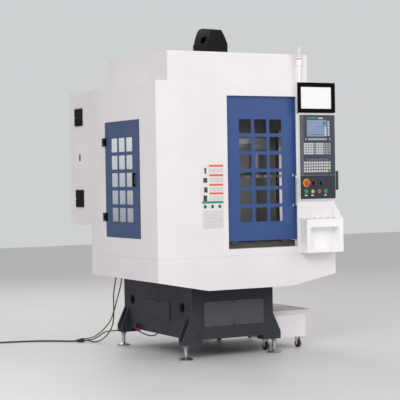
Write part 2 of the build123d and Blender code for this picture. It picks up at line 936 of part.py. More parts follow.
def make_cabinet_electrics():
    """Mounting plate with drives, contactor rows and their wiring ducts."""
    plate_x = (plate_margin, cabinet_width - plate_margin)
    plate_z = (cabinet_z[0] + plate_margin, cabinet_z[1] - plate_margin)
    face = enclosure_depth + sheet + plate_thickness
    room = cabinet_back - cabinet_door_thickness - face

    def device(across, up, reach, start=face):
        """A box at shares of the plate's width and height, as deep as a share of the free room."""
        x = tuple(plate_x[0] + share * span(plate_x) for share in across)
        z = tuple(plate_z[0] + share * span(plate_z) for share in up)
        return block(x, (start, start + reach * room), z)

    solids = [block(plate_x, (enclosure_depth + sheet, face), plate_z)]
    for index in range(4):
        left = 0.07 + index * 0.105
        drive = device((left, left + 0.084), (0.68, 0.95), 0.53)
        drive -= device((left + 0.011, left + 0.073), (0.87, 0.925), 0.012, face + 0.518 * room)
        solids.append(drive)
    solids.append(device((0.545, 0.727), (0.68, 0.95), 0.42))
    for foot, count in ((0.5, 9), (0.31, 11)):
        solids.append(device((0.057, 0.943), (foot + 0.035, foot + 0.075), din_rail_depth / room))
        for index in range(count):
            left = 0.07 + index * 0.86 / count
            solids.append(device((left, left + 0.05), (foot, foot + 0.105), 0.22, face + din_rail_depth))
    for foot in (0.625, 0.44, 0.253):
        solids.append(device((0.045, 0.955), (foot, foot + 0.035), 0.16))
    solids.append(device((0.08, 0.307), (0.03, 0.2), 0.42))
    return solids


def make_door_rails():
    y_near, y_far = rail_web
    slot_y = ((y_near + y_far - rail_slot) / 2, (y_near + y_far + rail_slot) / 2)
    rail_top = rail_floor + rail_height
    channel = window(rail_web, (rail_floor, rail_top))
    channel -= window((y_near + rail_wall, y_far - rail_wall), (rail_floor + rail_wall, rail_top - rail_wall))
    channel -= window(slot_y, (rail_floor, rail_floor + rail_wall))
    web = window((sheet, y_far), (rail_top, rail_top + rail_wall))
    web += window((sheet, sheet + rail_wall), (rail_top, rail_top + 18))
    rail_end = jamb_x - sheet
    top_rail = facing_side(channel + web, rail_start, rail_end - rail_start)

    # The guard stands behind the sill, with the blade that guides the leaf's foot.
    sill = opening_z[0]
    guard = window((jamb_depth - sheet, jamb_depth), (sill - flange, guard_height))
    guard += window((guide_blade_y, jamb_depth), (sill, sill + rail_wall))
    guard += window((guide_blade_y, guide_blade_y + guide_blade), (sill, guide_blade_top))
    return [top_rail, facing_side(guard, rail_start, rail_end - rail_start)]


def make_front_door():
    skin = window(leaf_x, leaf_z)
    for cell in window_grid((front_window_x, front_window_z), front_window_columns, front_window_rows):
        skin -= cell
    leaf = facing_front(skin, leaf_front, sheet)
    returns = window(leaf_x, leaf_z) - window(
        (leaf_x[0] + sheet, leaf_x[1] - sheet),
        (leaf_z[0] + sheet, leaf_z[1] - sheet),
    )
    rear_lip = window(leaf_x, leaf_z) - window(
        (leaf_x[0] + flange, leaf_x[1] - flange),
        (leaf_z[0] + flange, leaf_z[1] - flange),
    )
    leaf += facing_front(returns, leaf_front, leaf_depth)
    leaf += facing_front(rear_lip, leaf_rear - sheet, sheet)
    rail_middle = middle(rail_web)
    for x in (leaf_x[0] + 90, leaf_x[1] - 90):
        half = hanger_width / 2
        stem_y = (rail_middle - hanger_thickness / 2, rail_middle + hanger_thickness / 2)
        head_y = (rail_web[0] + rail_wall + 1, rail_web[1] - rail_wall - 1)
        head_foot = rail_floor + rail_wall + running_gap
        leaf += block((x - half, x + half), stem_y, (leaf_z[1], head_foot + 4))
        leaf += block((x - half, x + half), head_y, (head_foot, rail_floor + rail_height - rail_wall - 1))
        shoe = block(
            (x - half, x + half),
            (leaf_rear - 12, guide_blade_y + guide_blade + 7),
            (leaf_z[0] - 18, leaf_z[0]),
        )
        groove = block(
            (x - half, x + half),
            (guide_blade_y - running_gap, guide_blade_y + guide_blade + running_gap),
            (leaf_z[0] - 18, guide_blade_top + running_gap),
        )
        leaf += shoe - groove
    return leaf


def make_front_door_glass():
    pane = window(
        grid_limits(front_window_x, front_window_columns),
        grid_limits(front_window_z, front_window_rows),
    )
    return facing_front(pane, leaf_front + sheet, glass_thickness)


def make_front_door_handle():
    """A bent bar on two round feet."""
    bend = 18
    bar_y = leaf_front - handle_reach
    low, high = handle_z
    route = FilletPolyline(
        (handle_x, leaf_front, low),
        (handle_x, bar_y, low),
        (handle_x, bar_y, high),
        (handle_x, leaf_front, high),
        radius=bend,
    )
    bar = sweep(Plane(origin=route @ 0, z_dir=route % 0) * Circle(handle_radius), path=route)
    feet = [pin((handle_x, leaf_front - 5, z), (0, 1, 0), handle_foot_radius, 5) for z in handle_z]
    return bar + feet


def make_side_door():
    x_front = -side_leaf_proud
    skin = window(side_leaf_y, side_leaf_z)
    for cell in window_grid((side_window_y, side_window_z), side_window_columns, side_window_rows):
        skin -= cell
    leaf = facing_side(skin, x_front, sheet)
    returns = window(side_leaf_y, side_leaf_z) - window(
        (side_leaf_y[0] + sheet, side_leaf_y[1] - sheet),
        (side_leaf_z[0] + sheet, side_leaf_z[1] - sheet),
    )
    rear_lip = window(side_leaf_y, side_leaf_z) - window(
        (side_leaf_y[0] + flange, side_leaf_y[1] - flange),
        (side_leaf_z[0] + flange, side_leaf_z[1] - flange),
    )
    leaf += facing_side(returns, x_front, side_leaf_depth)
    return leaf + facing_side(rear_lip, x_front + side_leaf_depth - sheet, sheet)


def make_side_door_glass():
    pane = window(
        grid_limits(side_window_y, side_window_columns),
        grid_limits(side_window_z, side_window_rows),
    )
    return facing_side(pane, sheet - side_leaf_proud, glass_thickness)


def make_column():
    front, back = column_y
    side_outline = Polygon(
        (front, bed_top),
        (back, bed_top),
        (back, bed_top + 140),
        (back - 90, column_top),
        (front, column_top),
        align=None,
    )
    left = axis_x - column_half_width
    column = facing_side(side_outline, left, 2 * column_half_width)
    core = Polygon(
        (front + base_wall, bed_top),
        (back - base_wall, bed_top),
        (back - base_wall, bed_top + 140),
        (back - 90 - base_wall, column_top - base_wall),
        (front + base_wall, column_top - base_wall),
        align=None,
    )
    column -= facing_side(core, left + base_wall, 2 * column_half_width - 2 * base_wall)
    for foot in (860, 1180, 1500):
        pocket = window((front + 60, back - 120), (foot, foot + 230), 30)
        column -= facing_side(pocket, left - 1, 8)
        column -= facing_side(pocket, axis_x + column_half_width - 7, 8)
    for x in mirrored_pair(column_way_spacing / 2):
        column += block((x - way_width / 2, x + way_width / 2), (front - way_height, front), column_way_z)
    servo_z = (column_top, column_top + 150)
    column += block((axis_x - 60, axis_x + 60), (front + 20, front + 140), servo_z)

    # The arm over the work area carries the tool changer's slide.
    arm_y = (axis_y - arm_half_width, front + 120)
    right = axis_x + column_half_width
    column += block((right, arm_reach), (front + 30, front + 120), arm_z)
    column += block((arm_reach - 2 * arm_half_width - 60, arm_reach), arm_y, arm_z)
    beam_x = (magazine_x - magazine_stroke - carriage_half_width, arm_reach)
    beam_y = (axis_y - arm_half_width, axis_y + arm_half_width)
    column += block(beam_x, beam_y, arm_z)
    return column + facing_side(magazine_dovetail(0), beam_x[0], span(beam_x))


def magazine_dovetail(play):
    """The rail under the arm, or its groove in the carriage when play is added."""
    top = arm_z[0]
    foot = top - dovetail_height - play
    return Polygon(
        (axis_y - dovetail_neck - play, top),
        (axis_y - dovetail_foot - play, foot),
        (axis_y + dovetail_foot + play, foot),
        (axis_y + dovetail_neck + play, top),
        align=None,
    )


def make_spindle_head():
    """A cast head whose rear straddles the column's two ways."""
    back = column_y[0] - running_gap
    outline = Polygon(
        (head_front, head_bottom + 60),
        (head_front + 60, head_bottom),
        (column_y[0] - 60, head_bottom - 60),
        (back, head_bottom - 60),
        (back, head_top),
        (column_y[0] - 120, head_top),
        (head_front + 200, head_top - 20),
        (head_front, head_top - 20),
        align=None,
    )
    head = facing_side(outline, axis_x - head_half_width, 2 * head_half_width)
    head -= block(
        (axis_x - head_half_width + head_wall, axis_x + head_half_width - head_wall),
        (axis_y + cartridge_radius + head_wall, column_y[0] - way_height - head_wall),
        (head_bottom + 2 * head_wall, head_top + 1),
    )
    head += pin((axis_x, axis_y, nose_height), (0, 0, 1), cartridge_radius, head_bottom + 40 - nose_height)
    head += block(
        (axis_x - 80, axis_x + 80),
        (axis_y - 80, axis_y + 80),
        (head_top - 21, motor_z[0]),
    )
    for x in mirrored_pair(column_way_spacing / 2):
        head -= block(
            (x - way_width / 2 - running_gap, x + way_width / 2 + running_gap),
            (column_y[0] - way_height - running_gap, column_y[0]),
            (head_bottom - 80, head_top + 20),
        )
    return head - pin(
        (axis_x, axis_y, nose_height - 1),
        (0, 0, 1),
        shaft_radius + fit,
        shaft_length + 1 + fit,
    )


def make_spindle():
    foot = nose_height - 22
    profile = [
        (0, foot + 48),
        (10, foot + 48),
        (19, foot),
        (spindle_radius, foot),
        (spindle_radius, nose_height - running_gap),
        (shaft_radius, nose_height - running_gap),
        (shaft_radius, nose_height + shaft_length),
        (0, nose_height + shaft_length),
    ]
    keys = [
        block((axis_x + x - 6, axis_x + x + 6), (axis_y - 5, axis_y + 5), (foot - 6, foot + 1))
        for x in (-26, 26)
    ]
    return turned(profile, axis_x, axis_y) + keys


def make_spindle_motor():
    half = motor_side / 2
    motor = block(
        (axis_x - half, axis_x + half),
        (axis_y - half, axis_y + half),
        (motor_z[0], motor_z[1] - 60),
    )
    motor = chamfer(motor.edges().filter_by(Axis.Z), 16)
    for foot in range(12):
        z = motor_z[0] + 40 + foot * 22
        ring = block((axis_x - half, axis_x + half), (axis_y - half, axis_y + half), (z, z + 8))
        ring -= block(
            (axis_x - half + 3, axis_x + half - 3),
            (axis_y - half + 3, axis_y + half - 3),
            (z, z + 8),
        )
        motor -= ring
    return motor + pin((axis_x, axis_y, motor_z[1] - 60), (0, 0, 1), 45, 60)


def make_saddle():
    foot = bed_top + running_gap
    saddle = block(mirrored_pair(saddle_half_width), saddle_y, (foot, saddle_top))
    for x in mirrored_pair(way_spacing):
        saddle -= block(
            (x - way_width / 2 - running_gap, x + way_width / 2 + running_gap),
            saddle_y,
            (foot, bed_top + way_height + running_gap),
        )
    for y in (axis_y - cross_way_offset, axis_y + cross_way_offset):
        saddle += block(
            mirrored_pair(saddle_half_width),
            (y - way_width / 2, y + way_width / 2),
            (saddle_top, saddle_top + cross_way_height),
        )
    return saddle


def make_table():
    foot = saddle_top + running_gap
    table = block(
        mirrored_pair(table_half_length),
        (axis_y - table_half_width, axis_y + table_half_width),
        (foot, table_top),
    )
    for y in (axis_y - cross_way_offset, axis_y + cross_way_offset):
        table -= block(
            mirrored_pair(table_half_length),
            (y - way_width / 2 - running_gap, y + way_width / 2 + running_gap),
            (foot, saddle_top + cross_way_height + running_gap),
        )
    slot = window((-slot_width / 2, slot_width / 2), (table_top - slot_depth, table_top))
    slot += window(
        (-slot_foot_width / 2, slot_foot_width / 2),
        (table_top - slot_depth, table_top - slot_depth + slot_foot_height),
    )
    for step in (-1, 0, 1):
        cut = Pos(axis_y + step * slot_pitch, 0) * slot
        table -= facing_side(cut, axis_x - table_half_length, 2 * table_half_length)
    return table


def make_magazine_carriage():
    """A slide that hangs on the arm's dovetail and carries the carousel on a pivot."""
    left = magazine_x - carriage_half_width
    carriage = block(
        (left, magazine_x + carriage_half_width),
        (axis_y - carriage_half_depth, axis_y + carriage_half_depth),
        (hub_top, arm_z[0] - running_gap),
    )
    carriage -= facing_side(magazine_dovetail(running_gap), left, 2 * carriage_half_width)
    return carriage + pin((magazine_x, axis_y, carousel_z + 4), (0, 0, 1), pivot_radius, hub_top - carousel_z)


def make_tool_carousel():
    """A disc of open tool pockets under a shallow umbrella."""
    disc = Pos(magazine_x, axis_y) * Circle(fork_radius)
    for index in range(pocket_count):
        turn = Rot(0, 0, index * 360 / pocket_count)
        pocket = Pos(carousel_radius, 0) * Circle(pocket_radius)
        mouth = Pos(carousel_radius + 30, 0) * Rectangle(60, pocket_mouth)
        gap = Rot(0, 0, 180 / pocket_count) * Pos(fork_radius + 8, 0) * Circle(36)
        disc -= Pos(magazine_x, axis_y) * turn * (pocket + mouth + gap)
    plate = lying_flat(disc, carousel_z, carousel_thickness)
    rise = carousel_z + carousel_thickness
    profile = [
        (pivot_radius + fit, rise - 1),
        (umbrella_radius, rise - 1),
        (umbrella_radius, rise + 3),
        (hub_radius + 4, rise + 28),
        (hub_radius, rise + 40),
        (hub_radius, hub_top - 4),
        (pivot_radius + fit, hub_top - 4),
    ]
    bore = pin((magazine_x, axis_y, carousel_z - 1), (0, 0, 1), pivot_radius + fit, hub_top)
    return plate - bore + turned(profile, magazine_x, axis_y)


def make_monitor():
    body = block(monitor_x, (-monitor_depth, 0), monitor_z)
    body = fillet(body.edges().filter_by(Axis.Y), 4)
    glass = facing_front(window(screen_x, screen_z, screen_corner), -monitor_depth, screen_recess + 2)
    return body - glass


def make_display_screens():
    monitor_glass = facing_front(
        window(screen_x, screen_z, screen_corner),
        screen_recess - monitor_depth,
        2,
    )
    panel_face = -control_depth - panel_thickness
    nc_glass = facing_front(window(nc_screen_x, nc_screen_z), panel_face, 2)
    return [monitor_glass, nc_glass]


def make_control_box():
    outer = block(control_x, (-control_depth, 0), control_z)
    outer = fillet(outer.edges().filter_by(Axis.Z).group_by(Axis.Y)[0], 3)
    inner = block(
        (control_x[0] + sheet, control_x[1] - sheet),
        (-control_depth + sheet, 0),
        (control_z[0] + sheet, control_z[1] - sheet),
    )
    holes = [
        pin((x, -control_depth - 1, z), (0, 1, 0), button_radius + 1, sheet + 2)
        for x, z in [estop_place, *knob_places.values(), *button_places.values()]
    ]
    return outer - inner - holes


def make_control_panel():
    """The dark front plates, with the raised rings round the stop and the push buttons."""
    face = -control_depth - panel_thickness
    lower = window(panel_x, (panel_z[0], panel_split), 3)
    upper = window(panel_x, (panel_split + panel_groove, panel_z[1]), 3)
    panel = facing_front(lower, face, panel_thickness)
    panel += facing_front(upper, face, panel_thickness)
    panel += facing_front(
        window((panel_x[0] + 4, panel_x[1] - 4), (panel_split - 4, panel_split + 6)),
        face + 3,
        3,
    )
    panel -= facing_front(window(nc_screen_x, nc_screen_z), face, 2)
    x, z = estop_place
    panel += pin((x, face - estop_collar_height, z), (0, 1, 0), estop_collar_radius, estop_collar_height)
    panel -= pin((x, face - estop_collar_height - 1, z), (0, 1, 0), estop_stem_radius + fit, 40)
    for x, z in button_places.values():
        panel += pin((x, face - bezel_height, z), (0, 1, 0), bezel_radius, bezel_height)
        panel -= pin((x, face - bezel_height - 1, z), (0, 1, 0), button_radius + fit, 40)
    for x, z in knob_places.values():
        panel -= pin((x, face - 1, z), (0, 1, 0), axle_radius + fit, 40)
    return panel


def key_block(start, columns, rows, pitch, size, skip=()):
    face = -control_depth - panel_thickness
    keys = []
    for row in range(rows):
        for column in range(columns):
            if (column, row) in skip:
                continue
            left = start[0] + column * pitch[0]
            foot = start[1] + row * pitch[1]
            keys.append(block((left, left + size[0]), (face - key_height, face), (foot, foot + size[1])))
    return keys


def make_panel_keys():
    top_row = key_rows - 1
    keys = key_block(editor_keys_start, key_columns, key_rows, key_pitch, key_size)
    keys += key_block(
        machine_keys_start,
        key_columns,
        key_rows,
        (key_pitch[0], machine_key_pitch),
        machine_key_size,
        skip=((0, top_row), (key_columns - 1, top_row)),
    )
    keys += key_block(soft_keys_start, soft_key_count, 1, (soft_key_pitch, 0), soft_key_size)
    keys += key_block(side_keys_start, 1, soft_key_count, (0, side_key_pitch), side_key_size)
    for x in page_keys_x:
        keys += key_block((x, page_keys_z), 1, 1, (0, 0), page_key_size)
    return keys


def make_emergency_stop():
    face = -control_depth - panel_thickness - estop_collar_height
    x, z = estop_place
    gap = estop_travel + 1
    profile = [
        (0, -20),
        (estop_stem_radius, -20),
        (estop_stem_radius, gap),
        (estop_radius - 4, gap),
        (estop_radius, gap + 4),
        (estop_radius, gap + 9),
        (estop_radius - 3, gap + 15),
        (estop_radius - 10, gap + 19),
        (0, gap + 20),
    ]
    outline = make_face(Polyline(*profile, close=True))
    button = revolve(Plane.XZ * outline, Axis.Z)
    return Pos(x, face, z) * Rot(90, 0, 0) * button


def make_knob(place):
    """A pointer knob on a short shaft."""
    face = -control_depth - panel_thickness
    x, z = place
    knob = pin((x, face - running_gap, z), (0, -1, 0), knob_radius, 6)
    grip = block((x - 4, x + 4), (face - knob_height, face - 6), (z - knob_radius + 1, z + knob_radius - 1))
    knob += fillet(grip.edges().filter_by(Axis.Y), 2.5)
    return knob + pin((x, face - running_gap, z), (0, 1, 0), axle_radius, panel_thickness + 12)


def make_button(place):
    face = -control_depth - panel_thickness - bezel_height
    x, z = place
    button = pin((x, face - button_proud, z), (0, 1, 0), button_radius, button_proud + button_depth)
    return chamfer(button.edges().group_by(Axis.Y)[0], 1.5)


def make_handwheel_unit():
    body = block(handwheel_x, handwheel_y, handwheel_z)
    body = fillet(body.edges().filter_by(Axis.X), 10)
    stub = pin((handwheel_x[1] - 1, middle(handwheel_y), dial_height), (1, 0, 0), 8, 4)
    knobs = [
        pin((handwheel_x[1] - 1, middle(handwheel_y) + y, 1180), (1, 0, 0), 9, 9)
        for y in (-18, 18)
    ]
    gland = pin((middle(handwheel_x), middle(handwheel_y), handwheel_z[1] - 1), (0, 0, 1), 7, 16)
    return body + stub + knobs + gland


def make_handwheel_dial():
    y = middle(handwheel_y)
    face = handwheel_x[1] + 0.5
    dial = pin((face, y, dial_height), (1, 0, 0), dial_radius, dial_thickness)
    dial = chamfer(dial.edges().group_by(Axis.X)[-1], 2)
    dial -= pin((face - 1, y, dial_height), (1, 0, 0), 8 + fit, 3.6)
    return dial + pin((face + dial_thickness - 1, y, dial_height + 18), (1, 0, 0), crank_radius, crank_length)


def make_tool_rack():
    back_z = rack_z[1] + rack_top_rise
    outline = Polygon(
        (-rack_reach, rack_z[0]),
        (0, rack_z[0]),
        (0, back_z),
        (-rack_reach, rack_z[1]),
        align=None,
    )
    hollow = Polygon(
        (-rack_reach + sheet, rack_z[0] + sheet),
        (-sheet, rack_z[0] + sheet),
        (-sheet, back_z - sheet),
        (-rack_reach + sheet, rack_z[1] - sheet),
        align=None,
    )
    rack = facing_side(outline, rack_x[0], span(rack_x))
    rack -= facing_side(hollow, rack_x[0] + sheet, span(rack_x) - 2 * sheet)
    recess_wall = window(
        (rack_recess_x[0] - sheet, rack_recess_x[1] + sheet),
        (rack_recess_z[0] - sheet, rack_recess_z[1] + sheet),
        rack_recess_corner + sheet,
    )
    recess = window(rack_recess_x, rack_recess_z, rack_recess_corner)
    rack += facing_front(recess_wall, -rack_reach, rack_recess_depth + sheet)
    rack -= facing_front(recess, -rack_reach, rack_recess_depth)
    first = middle(rack_x) - rack_hole_pitch * (rack_hole_count - 1) / 2
    for index in range(rack_hole_count):
        x = first + index * rack_hole_pitch
        rack -= pin((x, -rack_hole_setback, rack_z[1] - 40), (0, 0, 1), rack_hole / 2, 80)
    gusset = Polygon(
        (-rack_reach + 4, rack_z[1] - 1),
        (-rack_reach + 4, rack_z[1] + 2),
        (-gusset_foot, gusset_height),
        (0, gusset_height),
        (0, rack_z[1] - 1),
        align=None,
    )
    return rack + facing_side(gusset, rack_x[1] - sheet, sheet)


def make_beacon_body():
    low, high = beacon_body_z
    profile = [
        (0, roof_height),
        (beacon_foot_radius, roof_height),
        (beacon_foot_radius, roof_height + 5),
        (beacon_foot_radius - 6, roof_height + 12),
        (beacon_pole_radius, roof_height + 22),
        (beacon_pole_radius, low - 6),
        (beacon_body_radius, low),
        (beacon_body_radius, high),
        (0, high),
    ]
    return turned(profile, beacon_x, beacon_y)


def make_beacon_lens():
    foot = beacon_body_z[1]
    profile = [
        (0, foot),
        (beacon_lens_radius + 1.5, foot),
        (beacon_lens_radius + 1.5, foot + 4),
        (beacon_lens_radius, foot + 6),
        (beacon_lens_radius - 1, beacon_top - 12),
        (beacon_lens_radius - 5, beacon_top - 3),
        (beacon_lens_radius - 10, beacon_top),
        (0, beacon_top),
    ]
    return turned(profile, beacon_x, beacon_y)


def tank_form(inset):
    """The tank's outside, or its inside when inset by the wall."""
    x_limits = (tank_x[0] + inset, tank_x[1] - inset)
    y_limits = (tank_y[0] + inset, tank_y[1] - inset)
    body = block(x_limits, y_limits, (tank_z[0] + inset, tank_z[1]))
    rim_x = (x_limits[0], x_limits[1] + tank_flare)
    rim_y = (y_limits[0] - tank_flare, y_limits[1] + tank_flare)
    funnel = loft([
        Plane.XY.offset(tank_z[1]) * window(x_limits, y_limits),
        Plane.XY.offset(tank_rim) * window(rim_x, rim_y),
    ])
    return body + funnel


def wheel_places():
    return [
        (x, y)
        for y in (tank_y[0] + wheel_inset[1], tank_y[1] - wheel_inset[1])
        for x in (tank_x[0] + wheel_inset[0] + 10, tank_x[1] - wheel_inset[0])
    ]


def make_coolant_tank():
    tank = tank_form(0) - tank_form(tank_wall)
    for x, y in wheel_places():
        plate = block((x - 32, x + 32), (y - 38, y + 38), (tank_z[0] - 4, tank_z[0]))
        tank += plate
        for side in (-1, 1):
            inner = x + side * (wheel_width / 2 + 1)
            outer = inner + side * fork_wall
            x_limits = (min(inner, outer), max(inner, outer))
            cheek = Polygon(
                (y - 16, tank_z[0] - 4),
                (y + 16, tank_z[0] - 4),
                (y + 8, wheel_radius - 9),
                (y - 8, wheel_radius - 9),
                align=None,
            )
            tank += facing_side(cheek, x_limits[0], fork_wall)
        tank -= pin((x - 30, y, wheel_radius), (1, 0, 0), axle_radius + fit, 60)
    return tank


def make_wheels(places):
    """A pair of wheels with their axle pins, turning on one line."""
    wheels = []
    for x, y in places:
        left = x - wheel_width / 2
        wheel = pin((left, y, wheel_radius), (1, 0, 0), wheel_radius, wheel_width)
        wheel = fillet(wheel.edges(), 3)
        axle = pin(
            (left - fork_wall - 4, y, wheel_radius),
            (1, 0, 0),
            axle_radius,
            wheel_width + 2 * fork_wall + 8,
        )
        wheels.append(wheel + axle)
    return wheels


def lid_limits():
    """The lid sits inside the flared rim, where the funnel has just its size."""
    height = tank_rim - lid_drop - lid_thickness
    share = (height - tank_z[1]) / (tank_rim - tank_z[1])
    reach = tank_flare * share - running_gap - tank_wall
    x_limits = (tank_x[0] + tank_wall + running_gap, tank_x[1] + reach)
    return height, x_limits, (tank_y[0] - reach, tank_y[1] + reach)


def make_tank_lid():
    height, x_limits, y_limits = lid_limits()
    plate = window(x_limits, y_limits)
    plate -= Pos(*pump_center) * Circle(pump_radius - 12)
    well = (spout_y[0] + 10, spout_y[1] - 10)
    for column in range(5):
        for row in range(4):
            x = spout_x[0] + 32 + column * strainer_pitch
            y = well[0] + 14 + row * strainer_pitch
            plate -= Pos(x, y) * Circle(strainer_hole / 2)
    return lying_flat(plate, height, lid_thickness)


def make_coolant_pump():
    """A pump that stands on the lid, with its intake in the tank and its outlet to the left."""
    deck = lid_limits()[0] + lid_thickness
    foot = deck - lid_thickness - 3
    neck = pump_radius - 18
    intake = 0.58 * pump_radius
    body = 0.81 * pump_radius
    cap = 0.87 * pump_radius
    profile = [
        (0, deck - pump_well),
        (intake, deck - pump_well),
        (intake, deck - 0.73 * pump_well),
        (0.26 * pump_radius, deck - 0.69 * pump_well),
        (0.26 * pump_radius, foot),
        (neck, foot),
        (neck, deck),
        (pump_radius, deck),
        (pump_radius, deck + 0.05 * pump_height),
        (body, deck + 0.08 * pump_height),
        (body, deck + 0.79 * pump_height),
        (cap, deck + 0.8 * pump_height),
        (cap, deck + 0.96 * pump_height),
        (0.74 * pump_radius, deck + pump_height),
        (0, deck + pump_height),
    ]
    pump = turned(profile, *pump_center)
    outlet_z = deck + 0.14 * pump_height
    outlet_x = pump_center[0] - body
    outlet = pin((outlet_x + 20, pump_center[1], outlet_z), (-1, 0, 0), 12, 42)
    return pump + outlet + pin((outlet_x - 16, pump_center[1], outlet_z), (-1, 0, 0), 14, 10)


def boot_mouth(across, up, straight=38):
    """The last two points of a lead that goes squarely into the boot's wide end."""
    end = Vector(*boot_rear)
    line = (Vector(*boot_front) - end).normalized()
    side = Vector(0, 0, 1).cross(line).normalized()
    end = end + side * across + line.cross(side) * up
    return [tuple(end - line * straight), tuple(end)]


lead_routes = {
    "black_lead": [
        (lead_gland_x["black_lead"], lead_gland_y, cabinet_z[0] - gland_length),
        (lead_gland_x["black_lead"], lead_gland_y, 790),
        (266, 1246, 690),
        (272, 1245, 590),
        (262, 1247, 490),
        (245, 1254, 400),
        (250, 1268, 310),
        (262, 1292, 225),
        (272, 1335, 145),
        (264, 1385, 82),
        (240, 1428, 36),
        (212, 1462, 11),
        (184, 1482, 6),
        (162, 1502, 9),
        *boot_mouth(7.5, -4),
    ],
    "green_lead": [
        (lead_gland_x["green_lead"], lead_gland_y, cabinet_z[0] - gland_length),
        (lead_gland_x["green_lead"], lead_gland_y, 790),
        (317, 1244, 690),
        (312, 1246, 590),
        (311, 1245, 495),
        (295, 1251, 415),
        (282, 1274, 344),
        (273, 1305, 260),
        (262, 1351, 176),
        (242, 1388, 130),
        (224, 1425, 95),
        (206, 1462, 67),
        (190, 1489, 48),
        (173, 1509, 37),
        *boot_mouth(0, 8),
    ],
    "base_lead": [
        (base_gland[0], base_back + gland_length, base_gland[1]),
        (base_gland[0], 1318, base_gland[1]),
        (686, 1340, 132),
        (676, 1346, 92),
        (658, 1343, 58),
        (630, 1337, 38),
        (588, 1330, 37),
        (540, 1321, 52),
        (492, 1309, 75),
        (450, 1297, 97),
        (clip_x + 30, base_back + gland_length, clip_z),
        (clip_x - 30, base_back + gland_length, clip_z),
        (317, 1300, 105),
        (284, 1328, 99),
        (255, 1366, 95),
        (236, 1406, 86),
        (224, 1443, 66),
        (208, 1478, 43),
        (190, 1500, 27),
        (174, 1514, 20),
        *boot_mouth(-7.5, -4),
    ],
}


def end_radius():
    """The cable's ends leave the coil's outermost turn from just inside its outer shape."""
    return coil_radius + (coil_columns - 1) / 2 * supply_diameter - coil_bite


def entry_start():
    """Where the supply cable meets the coil: on a tangent of its outermost turn."""
    toward = Vector(*entry_direction).normalized()
    touch = Vector(*coil_center, cable_lie) + toward.rotate(Axis.Z, 90) * end_radius()
    return touch - toward * entry_length, touch


def supply_points():
    boot_line = (Vector(*boot_front) - Vector(*boot_rear)).normalized()
    start, touch = entry_start()
    last_run = (touch - start).normalized() * 62
    return [
        boot_front,
        tuple(Vector(*boot_front) + boot_line * 28),
        (22, 1646, cable_lie),
        (-38, 1702, cable_lie),
        (-104, 1752, cable_lie),
        (-178, 1796, cable_lie),
        (-258, 1827, cable_lie),
        (-335, 1847, cable_lie),
        (-392, 1860, cable_lie),
        tuple(start - last_run),
        tuple(start),
    ]


def tail_points():
    """The cable from the coil's upper outermost turn to the plug, which lies on its collar."""
    x = coil_center[0] - end_radius()
    y = coil_center[1]
    height = supply_diameter * (coil_rows - 0.5) - coil_bite
    return [
        (x, y, height),
        (x, y + 40, height),
        (x + 7, y + 78, height + 3),
        (x + 30, y + 112, height + 8),
        (x + 66, y + 132, plug_radius + 0.1),
        (x + 106, y + 132, plug_radius + 0.1),
    ]


def cord_path(points):
    """Straight runs joined by the largest tangent arcs that the runs allow."""
    points = [Vector(*point) for point in points]
    radii = []
    for before, here, after in zip(points, points[1:], points[2:]):
        turn = math.radians((here - before).get_angle(after - here))
        shorter = min((here - before).length, (after - here).length)
        radii.append(0.45 * shorter / math.tan(turn / 2))
    return FilletPolyline(*points, radius=radii), radii


def make_cord(name, points, diameter):
    path, radii = cord_path(points)
    tube = sweep(Plane(origin=path @ 0, z_dir=path % 0) * Circle(diameter / 2), path=path)
    section = math.pi * diameter ** 2 / 4
    print(name, "length", round(path.length), "volume ratio", round(tube.volume / (section * path.length), 4))
    print("  radii", [round(radius) for radius in radii])
    return tube


def make_cable_glands():
    profile = make_face(Polyline(
        (0, 0),
        (lead_diameter / 2 + 2, 0),
        (gland_radius - 2, 8),
        (gland_radius - 2, gland_length),
        (0, gland_length),
        close=True,
    ))
    hexagon = RegularPolygon(gland_radius + 2, 6, major_radius=False)
    gland = revolve(Plane.XZ * profile, Axis.Z)
    for foot in (10, gland_length - 9):
        gland += lying_flat(hexagon, foot, 9)
    mouths = [
        Plane(origin=lead_routes["black_lead"][0], z_dir=(0, 0, 1)),
        Plane(origin=lead_routes["green_lead"][0], z_dir=(0, 0, 1)),
        Plane(origin=lead_routes["base_lead"][0], z_dir=(0, -1, 0)),
    ]
    stem_z = (clip_z - 5, clip_z + 5)
    clip_span = (clip_x - clip_length / 2, clip_x + clip_length / 2)
    clip = block(clip_span, (base_back, base_back + gland_length), stem_z)
    lead_middle = (clip_x - clip_length / 2, base_back + gland_length, clip_z)
    clip += pin(lead_middle, (1, 0, 0), clip_radius, clip_length)
    clip -= pin(lead_middle, (1, 0, 0), lead_diameter / 2 + fit, clip_length)
    return [mouth * gland for mouth in mouths] + [clip]


def make_cable_breakout():
    """A moulded boot that joins the three leads to the supply cable."""
    rear = Vector(*boot_rear)
    front = Vector(*boot_front)
    length = (front - rear).length
    profile = make_face(Polyline(
        (0, 0),
        (boot_rear_radius, 0),
        (boot_rear_radius, length * 0.25),
        (boot_front_radius + 2, length * 0.7),
        (boot_front_radius, length),
        (0, length),
        close=True,
    ))
    return Plane(origin=rear, z_dir=front - rear) * revolve(Plane.XZ * profile, Axis.Z)


def make_supply_coil():
    """The outer shape of the stored turns, with the cable's ends that lead in and out."""
    half_width = coil_columns * supply_diameter / 2
    outer_edge = 5
    ring = Pos(*coil_center) * (Circle(coil_radius + half_width) - Circle(coil_radius - half_width))
    coil = lying_flat(ring, 0, coil_rows * supply_diameter)
    coil = fillet(coil.edges(), outer_edge)
    start, touch = entry_start()
    coil += pin(start, touch - start, supply_diameter / 2, entry_length)
    return coil + make_cord("plug tail", tail_points(), supply_diameter)


